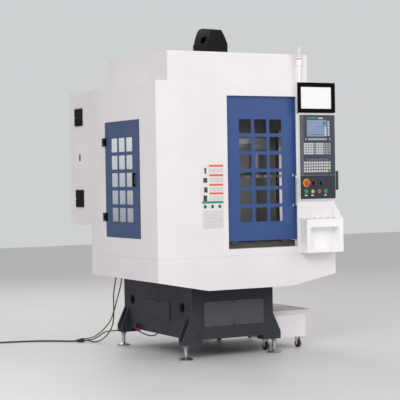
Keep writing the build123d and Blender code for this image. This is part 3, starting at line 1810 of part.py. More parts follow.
def make_supply_plug():
    """An industrial plug: tail, body, collar and pins."""
    profile = make_face(Polyline(
        (0, 0),
        (supply_diameter / 2 + 2, 0),
        (supply_diameter / 2 + 5, plug_tail_length),
        (plug_radius - 6, plug_tail_length + 8),
        (plug_radius - 3, plug_length - 44),
        (plug_radius, plug_length - 42),
        (plug_radius, plug_length),
        (plug_radius - 4, plug_length),
        (plug_radius - 4, plug_length - 34),
        (0, plug_length - 34),
        close=True,
    ))
    body = revolve(Plane.XZ * profile, Axis.Z)
    for index in range(5):
        angle = math.radians(index * 72)
        body += pin((15 * math.cos(angle), 15 * math.sin(angle), plug_length - 36), (0, 0, 1), 2.5, 32)
    before, end = [Vector(*point) for point in tail_points()[-2:]]
    return Plane(origin=end, z_dir=end - before) * body


def make_all():
    front_places = wheel_places()[:2]
    rear_places = wheel_places()[2:]
    nodes = {
        "base_casting": make_base_casting(),
        "base_covers": make_base_covers(),
        "leveling_feet": make_levelling_feet(),
        "drain_lever": make_drain_lever(),
        "chip_tray": make_chip_tray(),
        "front_panel": make_front_panel(),
        "left_panel": make_left_panel(),
        "right_panel": make_right_panel(),
        "rear_panel": make_rear_panel(),
        "roof": make_roof(),
        "motor_hood": make_motor_hood(),
        "cabinet_shell": make_cabinet_shell(),
        "cabinet_door": make_cabinet_door(),
        "cabinet_vents": make_cabinet_vents(),
        "cabinet_electrics": make_cabinet_electrics(),
        "door_rails": make_door_rails(),
        "front_door": make_front_door(),
        "front_door_glass": make_front_door_glass(),
        "front_door_handle": make_front_door_handle(),
        "side_door": make_side_door(),
        "side_door_glass": make_side_door_glass(),
        "side_door_fittings": make_side_door_fittings(),
        "column": make_column(),
        "spindle_head": make_spindle_head(),
        "spindle": make_spindle(),
        "spindle_motor": make_spindle_motor(),
        "saddle": make_saddle(),
        "table": make_table(),
        "magazine_carriage": make_magazine_carriage(),
        "tool_carousel": make_tool_carousel(),
        "monitor": make_monitor(),
        "display_screens": make_display_screens(),
        "control_box": make_control_box(),
        "control_panel": make_control_panel(),
        "panel_keys": make_panel_keys(),
        "emergency_stop": make_emergency_stop(),
        "handwheel_unit": make_handwheel_unit(),
        "handwheel_dial": make_handwheel_dial(),
        "tool_rack": make_tool_rack(),
        "beacon_body": make_beacon_body(),
        "beacon_lens": make_beacon_lens(),
        "coolant_tank": make_coolant_tank(),
        "tank_lid": make_tank_lid(),
        "coolant_pump": make_coolant_pump(),
        "front_wheels": make_wheels(front_places),
        "rear_wheels": make_wheels(rear_places),
        "cable_glands": make_cable_glands(),
        "cable_breakout": make_cable_breakout(),
        "supply_coil": make_supply_coil(),
        "supply_plug": make_supply_plug(),
    }
    for name, place in knob_places.items():
        nodes[name] = make_knob(place)
    for name, place in button_places.items():
        nodes[name] = make_button(place)
    for name, route in lead_routes.items():
        nodes[name] = make_cord(name, route, lead_diameter)
    nodes["supply_cable"] = make_cord("supply_cable", supply_points(), supply_diameter)
    return nodes


def origin_shift(nodes):
    """From the enclosure's corner to the middle of the footprint, cords left out."""
    loose = ("black_lead", "green_lead", "base_lead", "supply_cable", "supply_coil")
    loose += ("supply_plug", "cable_breakout")
    lows = [[], []]
    highs = [[], []]
    for name, shape in nodes.items():
        if name in loose:
            continue
        for solid in shape if isinstance(shape, list) else [shape]:
            bounds = solid.bounding_box()
            lows[0].append(bounds.min.X)
            lows[1].append(bounds.min.Y)
            highs[0].append(bounds.max.X)
            highs[1].append(bounds.max.Y)
    return tuple(-(min(low) + max(high)) / 2 for low, high in zip(lows, highs))


nodes = make_all()
shift_x, shift_y = origin_shift(nodes)
print("origin shift", round(shift_x, 3), round(shift_y, 3))
os.makedirs("parts", exist_ok=True)
for name, shape in nodes.items():
    solids = [solid for piece in (shape if isinstance(shape, list) else [shape]) for solid in piece.solids()]
    placed = [Pos(shift_x, shift_y, 0) * solid for solid in solids]
    export_step(placed[0] if len(placed) == 1 else Compound(placed), f"parts/{name}.step")
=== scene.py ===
import math

import bpy
from mathutils import Matrix, Vector


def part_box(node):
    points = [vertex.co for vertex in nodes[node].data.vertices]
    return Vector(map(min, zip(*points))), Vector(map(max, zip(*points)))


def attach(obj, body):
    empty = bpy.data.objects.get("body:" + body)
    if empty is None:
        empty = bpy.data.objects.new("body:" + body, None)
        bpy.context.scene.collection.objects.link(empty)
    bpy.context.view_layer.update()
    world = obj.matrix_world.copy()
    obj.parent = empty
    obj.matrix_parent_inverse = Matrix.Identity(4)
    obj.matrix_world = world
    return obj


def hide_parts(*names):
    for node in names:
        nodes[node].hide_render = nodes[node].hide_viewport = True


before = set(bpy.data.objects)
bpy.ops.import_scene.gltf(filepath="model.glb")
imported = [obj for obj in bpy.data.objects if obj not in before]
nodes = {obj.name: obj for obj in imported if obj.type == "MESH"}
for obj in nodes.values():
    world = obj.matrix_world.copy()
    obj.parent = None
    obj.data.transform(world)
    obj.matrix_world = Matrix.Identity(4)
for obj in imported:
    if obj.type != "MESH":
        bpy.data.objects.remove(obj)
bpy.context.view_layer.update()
bpy.ops.object.select_all(action="DESELECT")
scene = bpy.context.scene
scene.view_settings.view_transform = "Standard"
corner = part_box("front_panel")[0]  # the enclosure's front left corner
print("frame loaded:", len(nodes), "nodes")


def spot(x, y, z):
    # metres right of and behind the enclosure's corner, and above the floor
    return Vector((corner.x + x, corner.y + y, z))


# camera

cameraView = {
    "x": -3.788, "y": -7.630, "z": 1.231, "yaw": 28.295, "pitch": -0.895, "roll": -0.951,
    "lens": 116.89, "sensor": 36, "reach": 60,
}


def placeCamera(values):
    yaw, pitch, roll = (math.radians(values[key]) for key in ("yaw", "pitch", "roll"))
    forward = Vector((
        math.sin(yaw) * math.cos(pitch), math.cos(yaw) * math.cos(pitch), math.sin(pitch),
    ))
    level = Vector((math.cos(yaw), -math.sin(yaw), 0))
    upright = level.cross(forward)
    right = level * math.cos(roll) + upright * math.sin(roll)
    up = upright * math.cos(roll) - level * math.sin(roll)
    turn = Matrix((right, up, -forward)).transposed().to_4x4()
    bpy.ops.object.camera_add()
    camera = bpy.context.object
    camera.matrix_world = Matrix.Translation(spot(values["x"], values["y"], values["z"])) @ turn
    camera.data.lens = values["lens"]
    camera.data.sensor_width = values["sensor"]
    camera.data.clip_end = values["reach"]
    scene.camera = camera
    camera.select_set(False)


placeCamera(cameraView)
print("camera placed")

# cords

cordMesh = {"steps": 8, "rounding": 4}
blackLead = {
    "thickness": 0.009, "length": 1.078,
    "points": [
        (0.271, 1.245, 0.880), (0.271, 1.245, 0.790), (0.266, 1.246, 0.690),
        (0.272, 1.245, 0.590), (0.262, 1.247, 0.490), (0.245, 1.254, 0.400),
        (0.250, 1.268, 0.310), (0.262, 1.292, 0.225), (0.272, 1.335, 0.145),
        (0.264, 1.385, 0.082), (0.240, 1.428, 0.036), (0.212, 1.462, 0.011),
        (0.184, 1.482, 0.006), (0.162, 1.502, 0.009), (0.1441, 1.5189, 0.0176),
        (0.1171, 1.5453, 0.0131),
    ],
}
greenLead = {
    "thickness": 0.009, "length": 1.027,
    "points": [
        (0.314, 1.245, 0.880), (0.314, 1.245, 0.790), (0.317, 1.244, 0.690),
        (0.312, 1.246, 0.590), (0.311, 1.245, 0.495), (0.295, 1.251, 0.415),
        (0.282, 1.274, 0.344), (0.273, 1.305, 0.260), (0.262, 1.351, 0.176),
        (0.242, 1.388, 0.130), (0.224, 1.425, 0.095), (0.206, 1.462, 0.067),
        (0.190, 1.489, 0.048), (0.173, 1.509, 0.037), (0.1483, 1.5253, 0.0295),
        (0.1213, 1.5517, 0.0250),
    ],
}
baseLead = {
    "thickness": 0.009, "length": 0.850,
    "points": [
        (0.690, 1.287, 0.155), (0.690, 1.318, 0.155), (0.686, 1.340, 0.132),
        (0.676, 1.346, 0.092), (0.658, 1.343, 0.058), (0.630, 1.337, 0.038),
        (0.588, 1.330, 0.037), (0.540, 1.321, 0.052), (0.492, 1.309, 0.075),
        (0.450, 1.297, 0.097), (0.412, 1.287, 0.108), (0.352, 1.287, 0.108),
        (0.317, 1.300, 0.105), (0.284, 1.328, 0.099), (0.255, 1.366, 0.095),
        (0.236, 1.406, 0.086), (0.224, 1.443, 0.066), (0.208, 1.478, 0.043),
        (0.190, 1.500, 0.027), (0.174, 1.514, 0.020), (0.1546, 1.5297, 0.0176),
        (0.1276, 1.5560, 0.0131),
    ],
}
supplyCable = {
    "thickness": 0.013, "length": 3.26,
    "points": [
        (0.080, 1.592, 0.0101), (0.0601, 1.6114, 0.0068), (0.022, 1.646, 0.0066),
        (-0.038, 1.702, 0.0066), (-0.104, 1.752, 0.0066), (-0.178, 1.796, 0.0066),
        (-0.258, 1.827, 0.0066), (-0.335, 1.847, 0.0066), (-0.392, 1.860, 0.0066),
        (-0.4407, 1.8713, 0.0066), (-0.5013, 1.8842, 0.0066), (-0.540, 1.8925, 0.0066),
    ],
    "coilCenter": (-0.552, 1.982),
    "coilRadii": (0.0855, 0.073, 0.060, 0.060, 0.073, 0.0855),
    "coilHeights": (0.0066, 0.0066, 0.0066, 0.0190, 0.0190, 0.0190),
    "firstAngle": -102.1,
    "turning": 5 * 360 + 77.9,
    "step": 18,  # degrees, as the other angles here
    "shift": 54,  # degrees in which a turn moves over to the next place
    "tail": [
        (-0.637, 2.022, 0.0185), (-0.630, 2.060, 0.0215), (-0.607, 2.094, 0.0265),
        (-0.571, 2.114, 0.0311), (-0.531, 2.114, 0.0311),
    ],
}


def coilPoints(values):
    # the stored turns: three side by side on the floor, and three on top of them
    points = []
    steps = round(values["turning"] / values["step"])
    for index in range(1, steps + 1):
        turned = index * values["turning"] / steps
        turn = min(int(turned // 360), len(values["coilRadii"]) - 1)
        after = min(turn + 1, len(values["coilRadii"]) - 1)
        share = max(0, (turned - turn * 360 - 360 + values["shift"]) / values["shift"])
        share = share * share * (3 - 2 * share)  # eased at both ends
        radius = values["coilRadii"][turn] * (1 - share) + values["coilRadii"][after] * share
        height = values["coilHeights"][turn] * (1 - share) + values["coilHeights"][after] * share
        # the spline touches each run at its middle, so its points stand further out
        radius /= math.cos(math.radians(values["step"] / 2))
        angle = math.radians(values["firstAngle"] - turned)
        x = values["coilCenter"][0] + radius * math.cos(angle)
        y = values["coilCenter"][1] + radius * math.sin(angle)
        points.append((x, y, height))
    return points


def layCord(name, points, thickness):
    line = bpy.data.curves.new(name, "CURVE")
    line.dimensions = "3D"
    spline = line.splines.new("NURBS")
    spline.points.add(len(points) - 1)
    for point, place in zip(spline.points, points):
        point.co = (*spot(*place), 1)
        point.radius = thickness / 2  # times the bevel: a radius of 1 would swell the curve's box
    spline.order_u = 3
    spline.use_endpoint_u = True
    line.resolution_u = cordMesh["steps"]
    line.bevel_depth = 1
    line.bevel_resolution = cordMesh["rounding"]
    line.use_fill_caps = True
    cord = bpy.data.objects.new(name, line)
    scene.collection.objects.link(cord)
    return cord


blackCord = layCord("blackLeadCord", blackLead["points"], blackLead["thickness"])
greenCord = layCord("greenLeadCord", greenLead["points"], greenLead["thickness"])
baseCord = layCord("baseLeadCord", baseLead["points"], baseLead["thickness"])
supplyPoints = supplyCable["points"] + coilPoints(supplyCable) + supplyCable["tail"]
supplyCord = layCord("supplyCord", supplyPoints, supplyCable["thickness"])
for cord, hidden, slotName in (
    (blackCord, ["black_lead"], "cord_black"),
    (greenCord, ["green_lead"], "cord_green"),
    (baseCord, ["base_lead"], "cord_grey"),
    (supplyCord, ["supply_cable", "supply_coil"], "cord_grey"),
):
    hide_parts(*hidden)
    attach(cord, "machine")
print("cords laid")

# how materials are put together

softEdge = 0.0004  # metres by which a painted edge is soft
noiseMiddle = (0.3, 0.7)  # where nearly all of a noise's values lie


def colour(red, green, blue):
    # from a screen's 0 to 255 to linear light, by the sRGB curve
    def straight(value):
        value /= 255
        return value / 12.92 if value <= 0.04045 else ((value + 0.055) / 1.055) ** 2.4
    return (straight(red), straight(green), straight(blue), 1.0)


def shade(tint, factor):
    return (*(min(1.0, channel * factor) for channel in tint[:3]), 1.0)


def objectPlace(tree):
    return tree.nodes.new("ShaderNodeTexCoord").outputs["Object"]


def newFinish(name):
    finish = bpy.data.materials.new(name)
    finish.use_nodes = True
    tree = finish.node_tree
    return finish, tree, tree.nodes["Principled BSDF"], objectPlace(tree)


def painted(finish):
    # a finish's tree and shader, and the socket that colours it so far
    tree = finish.node_tree
    shader = tree.nodes["Principled BSDF"]
    return tree, shader, shader.inputs["Base Color"].links[0].from_socket


def grain(tree, place, scale, detail, rough, stretch=None):
    if stretch:
        mapping = tree.nodes.new("ShaderNodeMapping")
        mapping.inputs["Scale"].default_value = stretch
        tree.links.new(place, mapping.inputs["Vector"])
        place = mapping.outputs["Vector"]
    noise = tree.nodes.new("ShaderNodeTexNoise")
    noise.inputs["Scale"].default_value = scale
    noise.inputs["Detail"].default_value = detail
    noise.inputs["Roughness"].default_value = rough
    tree.links.new(place, noise.inputs["Vector"])
    return noise.outputs["Fac"]


def rescale(tree, value, fromLow, fromHigh, low, high):
    change = tree.nodes.new("ShaderNodeMapRange")
    change.inputs["From Min"].default_value = fromLow
    change.inputs["From Max"].default_value = fromHigh
    change.inputs["To Min"].default_value = low
    change.inputs["To Max"].default_value = high
    tree.links.new(value, change.inputs["Value"])
    return change.outputs["Result"]


def blendColours(tree, share, first, second):
    mix = tree.nodes.new("ShaderNodeMix")
    mix.data_type = "RGBA"
    tree.links.new(share, mix.inputs["Factor"])
    for socket, value in ((mix.inputs["A"], first), (mix.inputs["B"], second)):
        if isinstance(value, tuple):
            socket.default_value = value
        else:
            tree.links.new(value, socket)
    return mix.outputs["Result"]


def mottled(tree, noise, tint, first, second, limits=noiseMiddle):
    # a tint that wanders between two shades of itself
    share = rescale(tree, noise, *limits, 0, 1)
    return blendColours(tree, share, shade(tint, first), shade(tint, second))


def spread(tree, noise, low, high):
    return rescale(tree, noise, *noiseMiddle, low, high)


def connect(tree, shader, base, roughness):
    tree.links.new(base, shader.inputs["Base Color"])
    tree.links.new(roughness, shader.inputs["Roughness"])


def sums(tree, kind, first, second=None):
    node = tree.nodes.new("ShaderNodeMath")
    node.operation = kind
    for socket, value in zip(node.inputs, (first, second)):
        if value is None:
            continue
        if isinstance(value, (int, float)):
            socket.default_value = value
        else:
            tree.links.new(value, socket)
    return node.outputs["Value"]


def relief(tree, shader, height, strength, depth):
    bump = tree.nodes.new("ShaderNodeBump")
    bump.inputs["Strength"].default_value = strength
    bump.inputs["Distance"].default_value = depth
    tree.links.new(height, bump.inputs["Height"])
    tree.links.new(bump.outputs["Normal"], shader.inputs["Normal"])


def split(tree, place):
    parts = tree.nodes.new("ShaderNodeSeparateXYZ")
    tree.links.new(place, parts.inputs["Vector"])
    return parts.outputs


def within(tree, value, low, high, soft=softEdge):
    # 1 between two limits, with a soft edge
    rise = rescale(tree, value, low - soft, low + soft, 0, 1)
    fall = rescale(tree, value, high - soft, high + soft, 1, 0)
    return sums(tree, "MULTIPLY", rise, fall)


def field(tree, parts, left, right, foot, top, soft=softEdge):
    # 1 inside a rectangle on a face that looks to the front
    across = within(tree, parts["X"], corner.x + left, corner.x + right, soft)
    return sums(tree, "MULTIPLY", across, within(tree, parts["Z"], foot, top, soft))


def paintFields(tree, parts, base, fields, soft=softEdge):
    for left, right, foot, top, tint in fields:
        mask = field(tree, parts, left, right, foot, top, soft)
        base = blendColours(tree, mask, base, tint)
    return base


def paintOver(finish, areas, soft=softEdge):
    # colour areas on a finish, each between limits along the axes, counted as spot counts them
    tree, shader, base = painted(finish)
    parts = split(tree, objectPlace(tree))
    start = {"X": corner.x, "Y": corner.y, "Z": 0}
    for limits, tint in areas:
        mask = 1.0
        for axis, (low, high) in limits.items():
            strip = within(tree, parts[axis], start[axis] + low, start[axis] + high, soft)
            mask = sums(tree, "MULTIPLY", mask, strip)
        base = blendColours(tree, mask, base, tint)
    tree.links.new(base, shader.inputs["Base Color"])


def setAll(shader, **values):
    names = {
        "metallic": "Metallic", "coat": "Coat Weight", "coatRoughness": "Coat Roughness",
        "specular": "Specular IOR Level", "alpha": "Alpha", "glow": "Emission Strength",
    }
    for key, value in values.items():
        shader.inputs[names[key]].default_value = value


def dress(finish, *names):
    for name in names:
        mesh = nodes[name].data
        if not mesh.materials:
            mesh.materials.append(finish)
        for index in range(len(mesh.materials)):
            mesh.materials[index] = finish


# sheet metal and enamel

whiteCoat = {
    "tint": colour(239, 235, 236), "peel": 420, "cloud": 2.2, "roughness": (0.40, 0.52),
    "depth": 0.00012, "specular": 0.45,
}
trayCoat = {**whiteCoat, "dust": 0.12, "dustTop": 0.75}
# painted light: a paler copy of the white coat, so the tool rack looks brighter than its lighting
# makes it
rackLitCoat = {**whiteCoat, "tint": colour(253, 252, 252)}
blueCoat = {
    "tint": colour(56, 84, 139), "peel": 420, "cloud": 3.0, "roughness": (0.34, 0.46),
    "depth": 0.00012, "specular": 0.28,
}
sideBlue = {**blueCoat, "tint": colour(60, 81, 122), "roughness": (0.38, 0.50)}
darkCoat = {
    "tint": colour(41, 45, 54), "peel": 160, "cloud": 5.0, "roughness": (0.48, 0.62),
    "depth": 0.0004, "specular": 0.28, "dust": 0.16, "dustTop": 0.42,
}
coverCoat = {
    "tint": colour(76, 75, 80), "peel": 700, "cloud": 5.0, "roughness": (0.50, 0.66),
    "depth": 0.0002, "specular": 0.28, "dust": 0.10, "dustTop": 0.4,
}
castCoat = {
    "tint": colour(176, 180, 178), "peel": 90, "cloud": 5.0, "roughness": (0.45, 0.60),
    "depth": 0.0006, "specular": 0.45,
}
tankCoat = {
    "tint": colour(241, 237, 240), "peel": 380, "cloud": 4.0, "roughness": (0.42, 0.56),
    "depth": 0.00015, "specular": 0.45, "dust": 0.10, "dustTop": 0.2,
}
lidCoat = {
    "tint": colour(203, 201, 200), "peel": 380, "cloud": 6.0, "roughness": (0.40, 0.58),
    "depth": 0.00015, "specular": 0.45,
}
pumpCoat = {
    "tint": colour(74, 92, 104), "peel": 300, "cloud": 8.0, "roughness": (0.40, 0.55),
    "depth": 0.0003, "specular": 0.28,
}
blackCoat = {
    "tint": colour(7, 7, 7), "peel": 520, "cloud": 6.0, "roughness": (0.45, 0.60),
    "depth": 0.0002, "specular": 0.12,
}
redCoat = {
    "tint": colour(122, 28, 32), "peel": 260, "cloud": 12.0, "roughness": (0.35, 0.50),
    "depth": 0.0002, "specular": 0.28,
}
guardCoat = {
    "tint": colour(79, 79, 75), "peel": 420, "cloud": 4.0, "roughness": (0.40, 0.55),
    "depth": 0.0001, "specular": 0.28,
}
beaconCoat = {
    "tint": colour(252, 251, 251), "peel": 500, "cloud": 9.0, "roughness": (0.35, 0.48),
    "depth": 0.0001, "specular": 0.45,
}
coatPattern = {
    "shades": (0.955, 1.03), "relief": 0.35,
    "spotScale": 0.11, "spotLimits": (0.62, 0.8), "spotShare": 0.25, "spotShade": 0.86,
}
settledDust = {"scale": 9, "limits": (0.35, 0.7), "least": 0.2, "tint": colour(138, 133, 126)}
insideRight = {"X": (1.39, 1.3988)}  # the right wall's inner face
stripHeights = (0.862, 1.592)
paintedAreas = {
    "left_panel": [({"X": (-0.05, -0.0012)}, colour(22, 23, 25))],  # hinge parts
    "front_door": [({"Z": (0.70, 0.8065)}, colour(74, 74, 70))],  # its foot
    "right_panel": [
        # painted shade: the right wall's inner face is painted a darker grey than its white
        # outside, with an upright black strip and a white strip on it
        (insideRight, colour(96, 95, 94)),
        ({**insideRight, "Z": stripHeights, "Y": (0.734, 0.782)}, colour(20, 20, 24)),
        ({**insideRight, "Z": stripHeights, "Y": (0.696, 0.734)}, colour(240, 240, 244)),
    ],
    # painted shade: the rear wall's inner face is painted a darker grey than its white outside
    "rear_panel": [({"Y": (1.05, 1.0758)}, colour(120, 119, 117))],  # its inner face
    "base_covers": [({"Y": (0.45, 0.95)}, colour(56, 56, 60))],  # the side plates
    "monitor": [({"Y": (-0.0245, 0.1)}, colour(226, 223, 224))],  # behind the bezel
}


def coatedSheet(name, values):
    # powder coat: a fine orange peel, faint clouds and spots, and on some pieces dust low down
    finish, tree, shader, place = newFinish(name)
    cloud = grain(tree, place, values["cloud"], detail=4, rough=0.6)
    fine = grain(tree, place, values["peel"], detail=2, rough=0.4)
    spots = grain(tree, place, values["peel"] * coatPattern["spotScale"], detail=5, rough=0.7)
    base = mottled(tree, cloud, values["tint"], *coatPattern["shades"])
    spotted = rescale(tree, spots, *coatPattern["spotLimits"], 0, coatPattern["spotShare"])
    base = blendColours(tree, spotted, base, shade(values["tint"], coatPattern["spotShade"]))
    if "dust" in values:
        low = rescale(tree, split(tree, place)["Z"], 0.0, values["dustTop"], 1, 0)
        patches = grain(tree, place, settledDust["scale"], detail=6, rough=0.7)
        patchy = rescale(tree, patches, *settledDust["limits"], settledDust["least"], 1)
        share = sums(tree, "MULTIPLY", sums(tree, "MULTIPLY", low, patchy), values["dust"])
        base = blendColours(tree, share, base, settledDust["tint"])
    connect(tree, shader, base, spread(tree, cloud, *values["roughness"]))
    relief(tree, shader, fine, coatPattern["relief"], values["depth"])
    setAll(shader, specular=values["specular"])
    return finish


blackPaint = coatedSheet("blackPowderCoat", blackCoat)
dress(blackPaint, "side_door_fittings", "spindle_motor", "cabinet_vents")
whitePaint = coatedSheet("whitePowderCoat", whiteCoat)
dress(whitePaint, "front_panel", "roof", "cabinet_shell", "cabinet_door", "control_box")
for finishName, look, *names in (
    ("leftPanelCoat", whiteCoat, "left_panel"),
    ("rightPanelCoat", whiteCoat, "right_panel"),
    ("rearPanelCoat", whiteCoat, "rear_panel"),
    ("trayPowderCoat", trayCoat, "chip_tray"),
    ("rackLitPowderCoat", rackLitCoat, "tool_rack"),
    ("frontDoorCoat", blueCoat, "front_door"),
    ("sideDoorCoat", sideBlue, "side_door"),
    ("baseEnamel", darkCoat, "base_casting"),
    ("coverEnamel", coverCoat, "base_covers"),
    ("castingEnamel", castCoat, "column", "spindle_head", "magazine_carriage"),
    ("tankEnamel", tankCoat, "coolant_tank"),
    ("tankLidEnamel", lidCoat, "tank_lid"),
    ("pumpEnamel", pumpCoat, "coolant_pump"),
    ("leverDip", redCoat, "drain_lever"),
    ("guardCoat", guardCoat, "door_rails"),
):
    finish = coatedSheet(finishName, look)
    if names[0] in paintedAreas:
        paintOver(finish, paintedAreas[names[0]])
    dress(finish, *names)
print("coated sheet dressed")

# bare metal

steelLook = {"tint": colour(176, 177, 178), "roughness": (0.22, 0.38)}
groundLook = {"tint": colour(150, 150, 147), "roughness": (0.18, 0.42), "lines": 420}
chromeLook = {"tint": colour(214, 214, 216), "roughness": (0.07, 0.16)}
alloyLook = {"tint": colour(166, 169, 171), "roughness": (0.30, 0.42)}
metalPattern = {
    "scratch": 260, "stain": 14, "stainLimits": (0.35, 0.7), "shades": (1.04, 0.84),
    "relief": 0.2, "depth": 0.0001,
}
studThread = {"pitch": 0.0025, "foot": (0.024, 0.026), "relief": 0.6, "depth": 0.0008}
oilFilm = {"scale": 6, "limits": (0.35, 0.65)}


def bareMetal(name, values, brushed=(1, 1, 1), scratch=metalPattern["scratch"]):
    finish, tree, shader, place = newFinish(name)
    streak = grain(tree, place, scratch, detail=4, rough=0.6, stretch=brushed)
    stain = grain(tree, place, metalPattern["stain"], detail=5, rough=0.65)
    base = mottled(
        tree, stain, values["tint"], *metalPattern["shades"], metalPattern["stainLimits"]
    )
    connect(tree, shader, base, spread(tree, streak, *values["roughness"]))
    relief(tree, shader, streak, metalPattern["relief"], metalPattern["depth"])
    setAll(shader, metallic=1.0)
    return finish, tree, shader, place


def threadedSteel(name, values, thread):
    # the levelling studs: the thread is a fine wave up the stud, above its disc
    finish, tree, shader, place = bareMetal(name, values)
    wave = tree.nodes.new("ShaderNodeTexWave")
    wave.bands_direction = "Z"
    # a wave is pi / 10 over the scale long
    wave.inputs["Scale"].default_value = math.pi / 10 / thread["pitch"]
    tree.links.new(place, wave.inputs["Vector"])
    above = rescale(tree, split(tree, place)["Z"], *thread["foot"], 0, 1)
    turns = sums(tree, "MULTIPLY", wave.outputs["Fac"], above)
    relief(tree, shader, turns, thread["relief"], thread["depth"])
    return finish


def groundIron(name, values, film):
    # table and saddle: fine lines left by the grinding wheel, and a gloss that varies with the oil
    finish, tree, shader, place = bareMetal(
        name, values, brushed=(0.02, 1, 1), scratch=values["lines"]
    )
    oil = grain(tree, place, film["scale"], detail=4, rough=0.6)
    gloss = rescale(tree, oil, *film["limits"], *values["roughness"])
    tree.links.new(gloss, shader.inputs["Roughness"])
    return finish


dress(threadedSteel("levellingSteel", steelLook, studThread), "leveling_feet")
dress(groundIron("groundIron", groundLook, oilFilm), "table", "saddle")
dress(bareMetal("handleChrome", chromeLook, brushed=(1, 1, 0.05))[0], "front_door_handle")
dress(bareMetal("spindleSteel", steelLook, brushed=(1, 1, 0.1))[0], "spindle")
dress(bareMetal("carouselAlloy", alloyLook)[0], "tool_carousel")
print("bare metal dressed")

# plastics and rubber

hoodLook = {
    "tint": colour(22, 23, 23), "roughness": (0.62, 0.78), "peel": 230, "depth": 0.0005,
    "dust": 0.03, "specular": 0.14,
}
panelLook = {
    "tint": colour(51, 58, 70), "roughness": (0.42, 0.52), "peel": 900, "depth": 0.00006,
}
driveLook = {
    "tint": colour(122, 124, 126), "roughness": (0.45, 0.6), "peel": 500, "depth": 0.0001,
}
glandLook = {
    "tint": colour(66, 67, 70), "roughness": (0.4, 0.55), "peel": 700, "depth": 0.00008,
}
knobLook = {
    "tint": colour(24, 24, 26), "roughness": (0.3, 0.42), "peel": 900, "depth": 0.00005,
    "gloss": 0.3,
}
bezelLook = {
    "tint": colour(7, 7, 8), "roughness": (0.55, 0.65), "peel": 900, "depth": 0.00003,
    "specular": 0.06,
}
caseLook = {
    "tint": colour(44, 46, 50), "roughness": (0.45, 0.6), "peel": 700, "depth": 0.0001,
}
plugLook = {
    "tint": colour(176, 44, 38), "roughness": (0.3, 0.45), "peel": 500, "depth": 0.0001,
    "dust": 0.15,
}
wheelLook = {
    "tint": colour(26, 26, 28), "roughness": (0.6, 0.8), "peel": 260, "depth": 0.0003,
    "dust": 0.4,
}
bootLook = {
    "tint": colour(20, 46, 33), "roughness": (0.55, 0.7), "peel": 400, "depth": 0.0002,
    "dust": 0.3,
}
capLook = {"roughness": (0.22, 0.34), "peel": 800, "depth": 0.00004, "gloss": 0.4}
capTints = {
    "emergency_stop": colour(212, 58, 40),
    "start_button": colour(48, 150, 96),
    "hold_button": colour(214, 200, 84),
    "stop_button": colour(204, 62, 50),
    "reset_button": colour(48, 150, 96),
}
plasticPattern = {"cloud": 26, "shades": (0.93, 1.07), "relief": 0.4, "glossRoughness": 0.15}
rubbedDust = {"scale": 60, "limits": (0.5, 0.75), "tint": colour(140, 136, 130)}


def mouldedPlastic(name, values):
    finish, tree, shader, place = newFinish(name)
    cloud = grain(tree, place, plasticPattern["cloud"], detail=4, rough=0.6)
    fine = grain(tree, place, values["peel"], detail=2, rough=0.5)
    base = mottled(tree, cloud, values["tint"], *plasticPattern["shades"])
    if "dust" in values:
        patches = grain(tree, place, rubbedDust["scale"], detail=6, rough=0.7)
        patchy = rescale(tree, patches, *rubbedDust["limits"], 0, values["dust"])
        base = blendColours(tree, patchy, base, rubbedDust["tint"])
    connect(tree, shader, base, spread(tree, fine, *values["roughness"]))
    relief(tree, shader, fine, plasticPattern["relief"], values["depth"])
    if "gloss" in values:
        setAll(shader, coat=values["gloss"], coatRoughness=plasticPattern["glossRoughness"])
    if "specular" in values:
        setAll(shader, specular=values["specular"])
    return finish


bezelPlastic = mouldedPlastic("bezelPlastic", bezelLook)
paintOver(bezelPlastic, paintedAreas["monitor"])
dress(bezelPlastic, "monitor")
for finishName, look, *names in (
    ("hoodCover", hoodLook, "motor_hood"),
    ("driveHousing", driveLook, "cabinet_electrics"),
    ("glandNylon", glandLook, "cable_glands"),
    ("knobPlastic", knobLook, "feed_knob", "speed_knob"),
    ("handwheelCase", caseLook, "handwheel_unit"),
    ("plugPlastic", plugLook, "supply_plug"),
    ("wheelRubber", wheelLook, "front_wheels", "rear_wheels"),
    ("bootRubber", bootLook, "cable_breakout"),
):
    dress(mouldedPlastic(finishName, look), *names)
for buttonName, tint in capTints.items():
    dress(mouldedPlastic(buttonName + "Cap", {**capLook, "tint": tint}), buttonName)

sheathLook = {
    "rub": 38, "fine": 1400, "roughness": (0.42, 0.62), "relief": 0.3, "depth": 0.0001,
    "dustLimits": (0.45, 0.8), "dust": 0.55, "dustTint": colour(120, 118, 112),
}
sheathTints = {
    "blackSheath": (colour(26, 27, 29), blackCord),
    "greenSheath": (colour(12, 116, 62), greenCord),
    "greySheath": (colour(34, 38, 38), baseCord),
    "supplySheath": (colour(36, 74, 54), supplyCord),
}


def sheathFinish(name, tint, values):
    # cable sheath: a dull rubber skin with floor dust rubbed into it
    finish, tree, shader, place = newFinish(name)
    rub = grain(tree, place, values["rub"], detail=6, rough=0.7)
    fine = grain(tree, place, values["fine"], detail=2, rough=0.5)
    dusty = rescale(tree, rub, *values["dustLimits"], 0, values["dust"])
    base = blendColours(tree, dusty, tint, values["dustTint"])
    connect(tree, shader, base, spread(tree, rub, *values["roughness"]))
    relief(tree, shader, fine, values["relief"], values["depth"])
    return finish


for finishName, (tint, cord) in sheathTints.items():
    cord.data.materials.append(sheathFinish(finishName, tint, sheathLook))
print("plastics and rubber dressed")

# glass

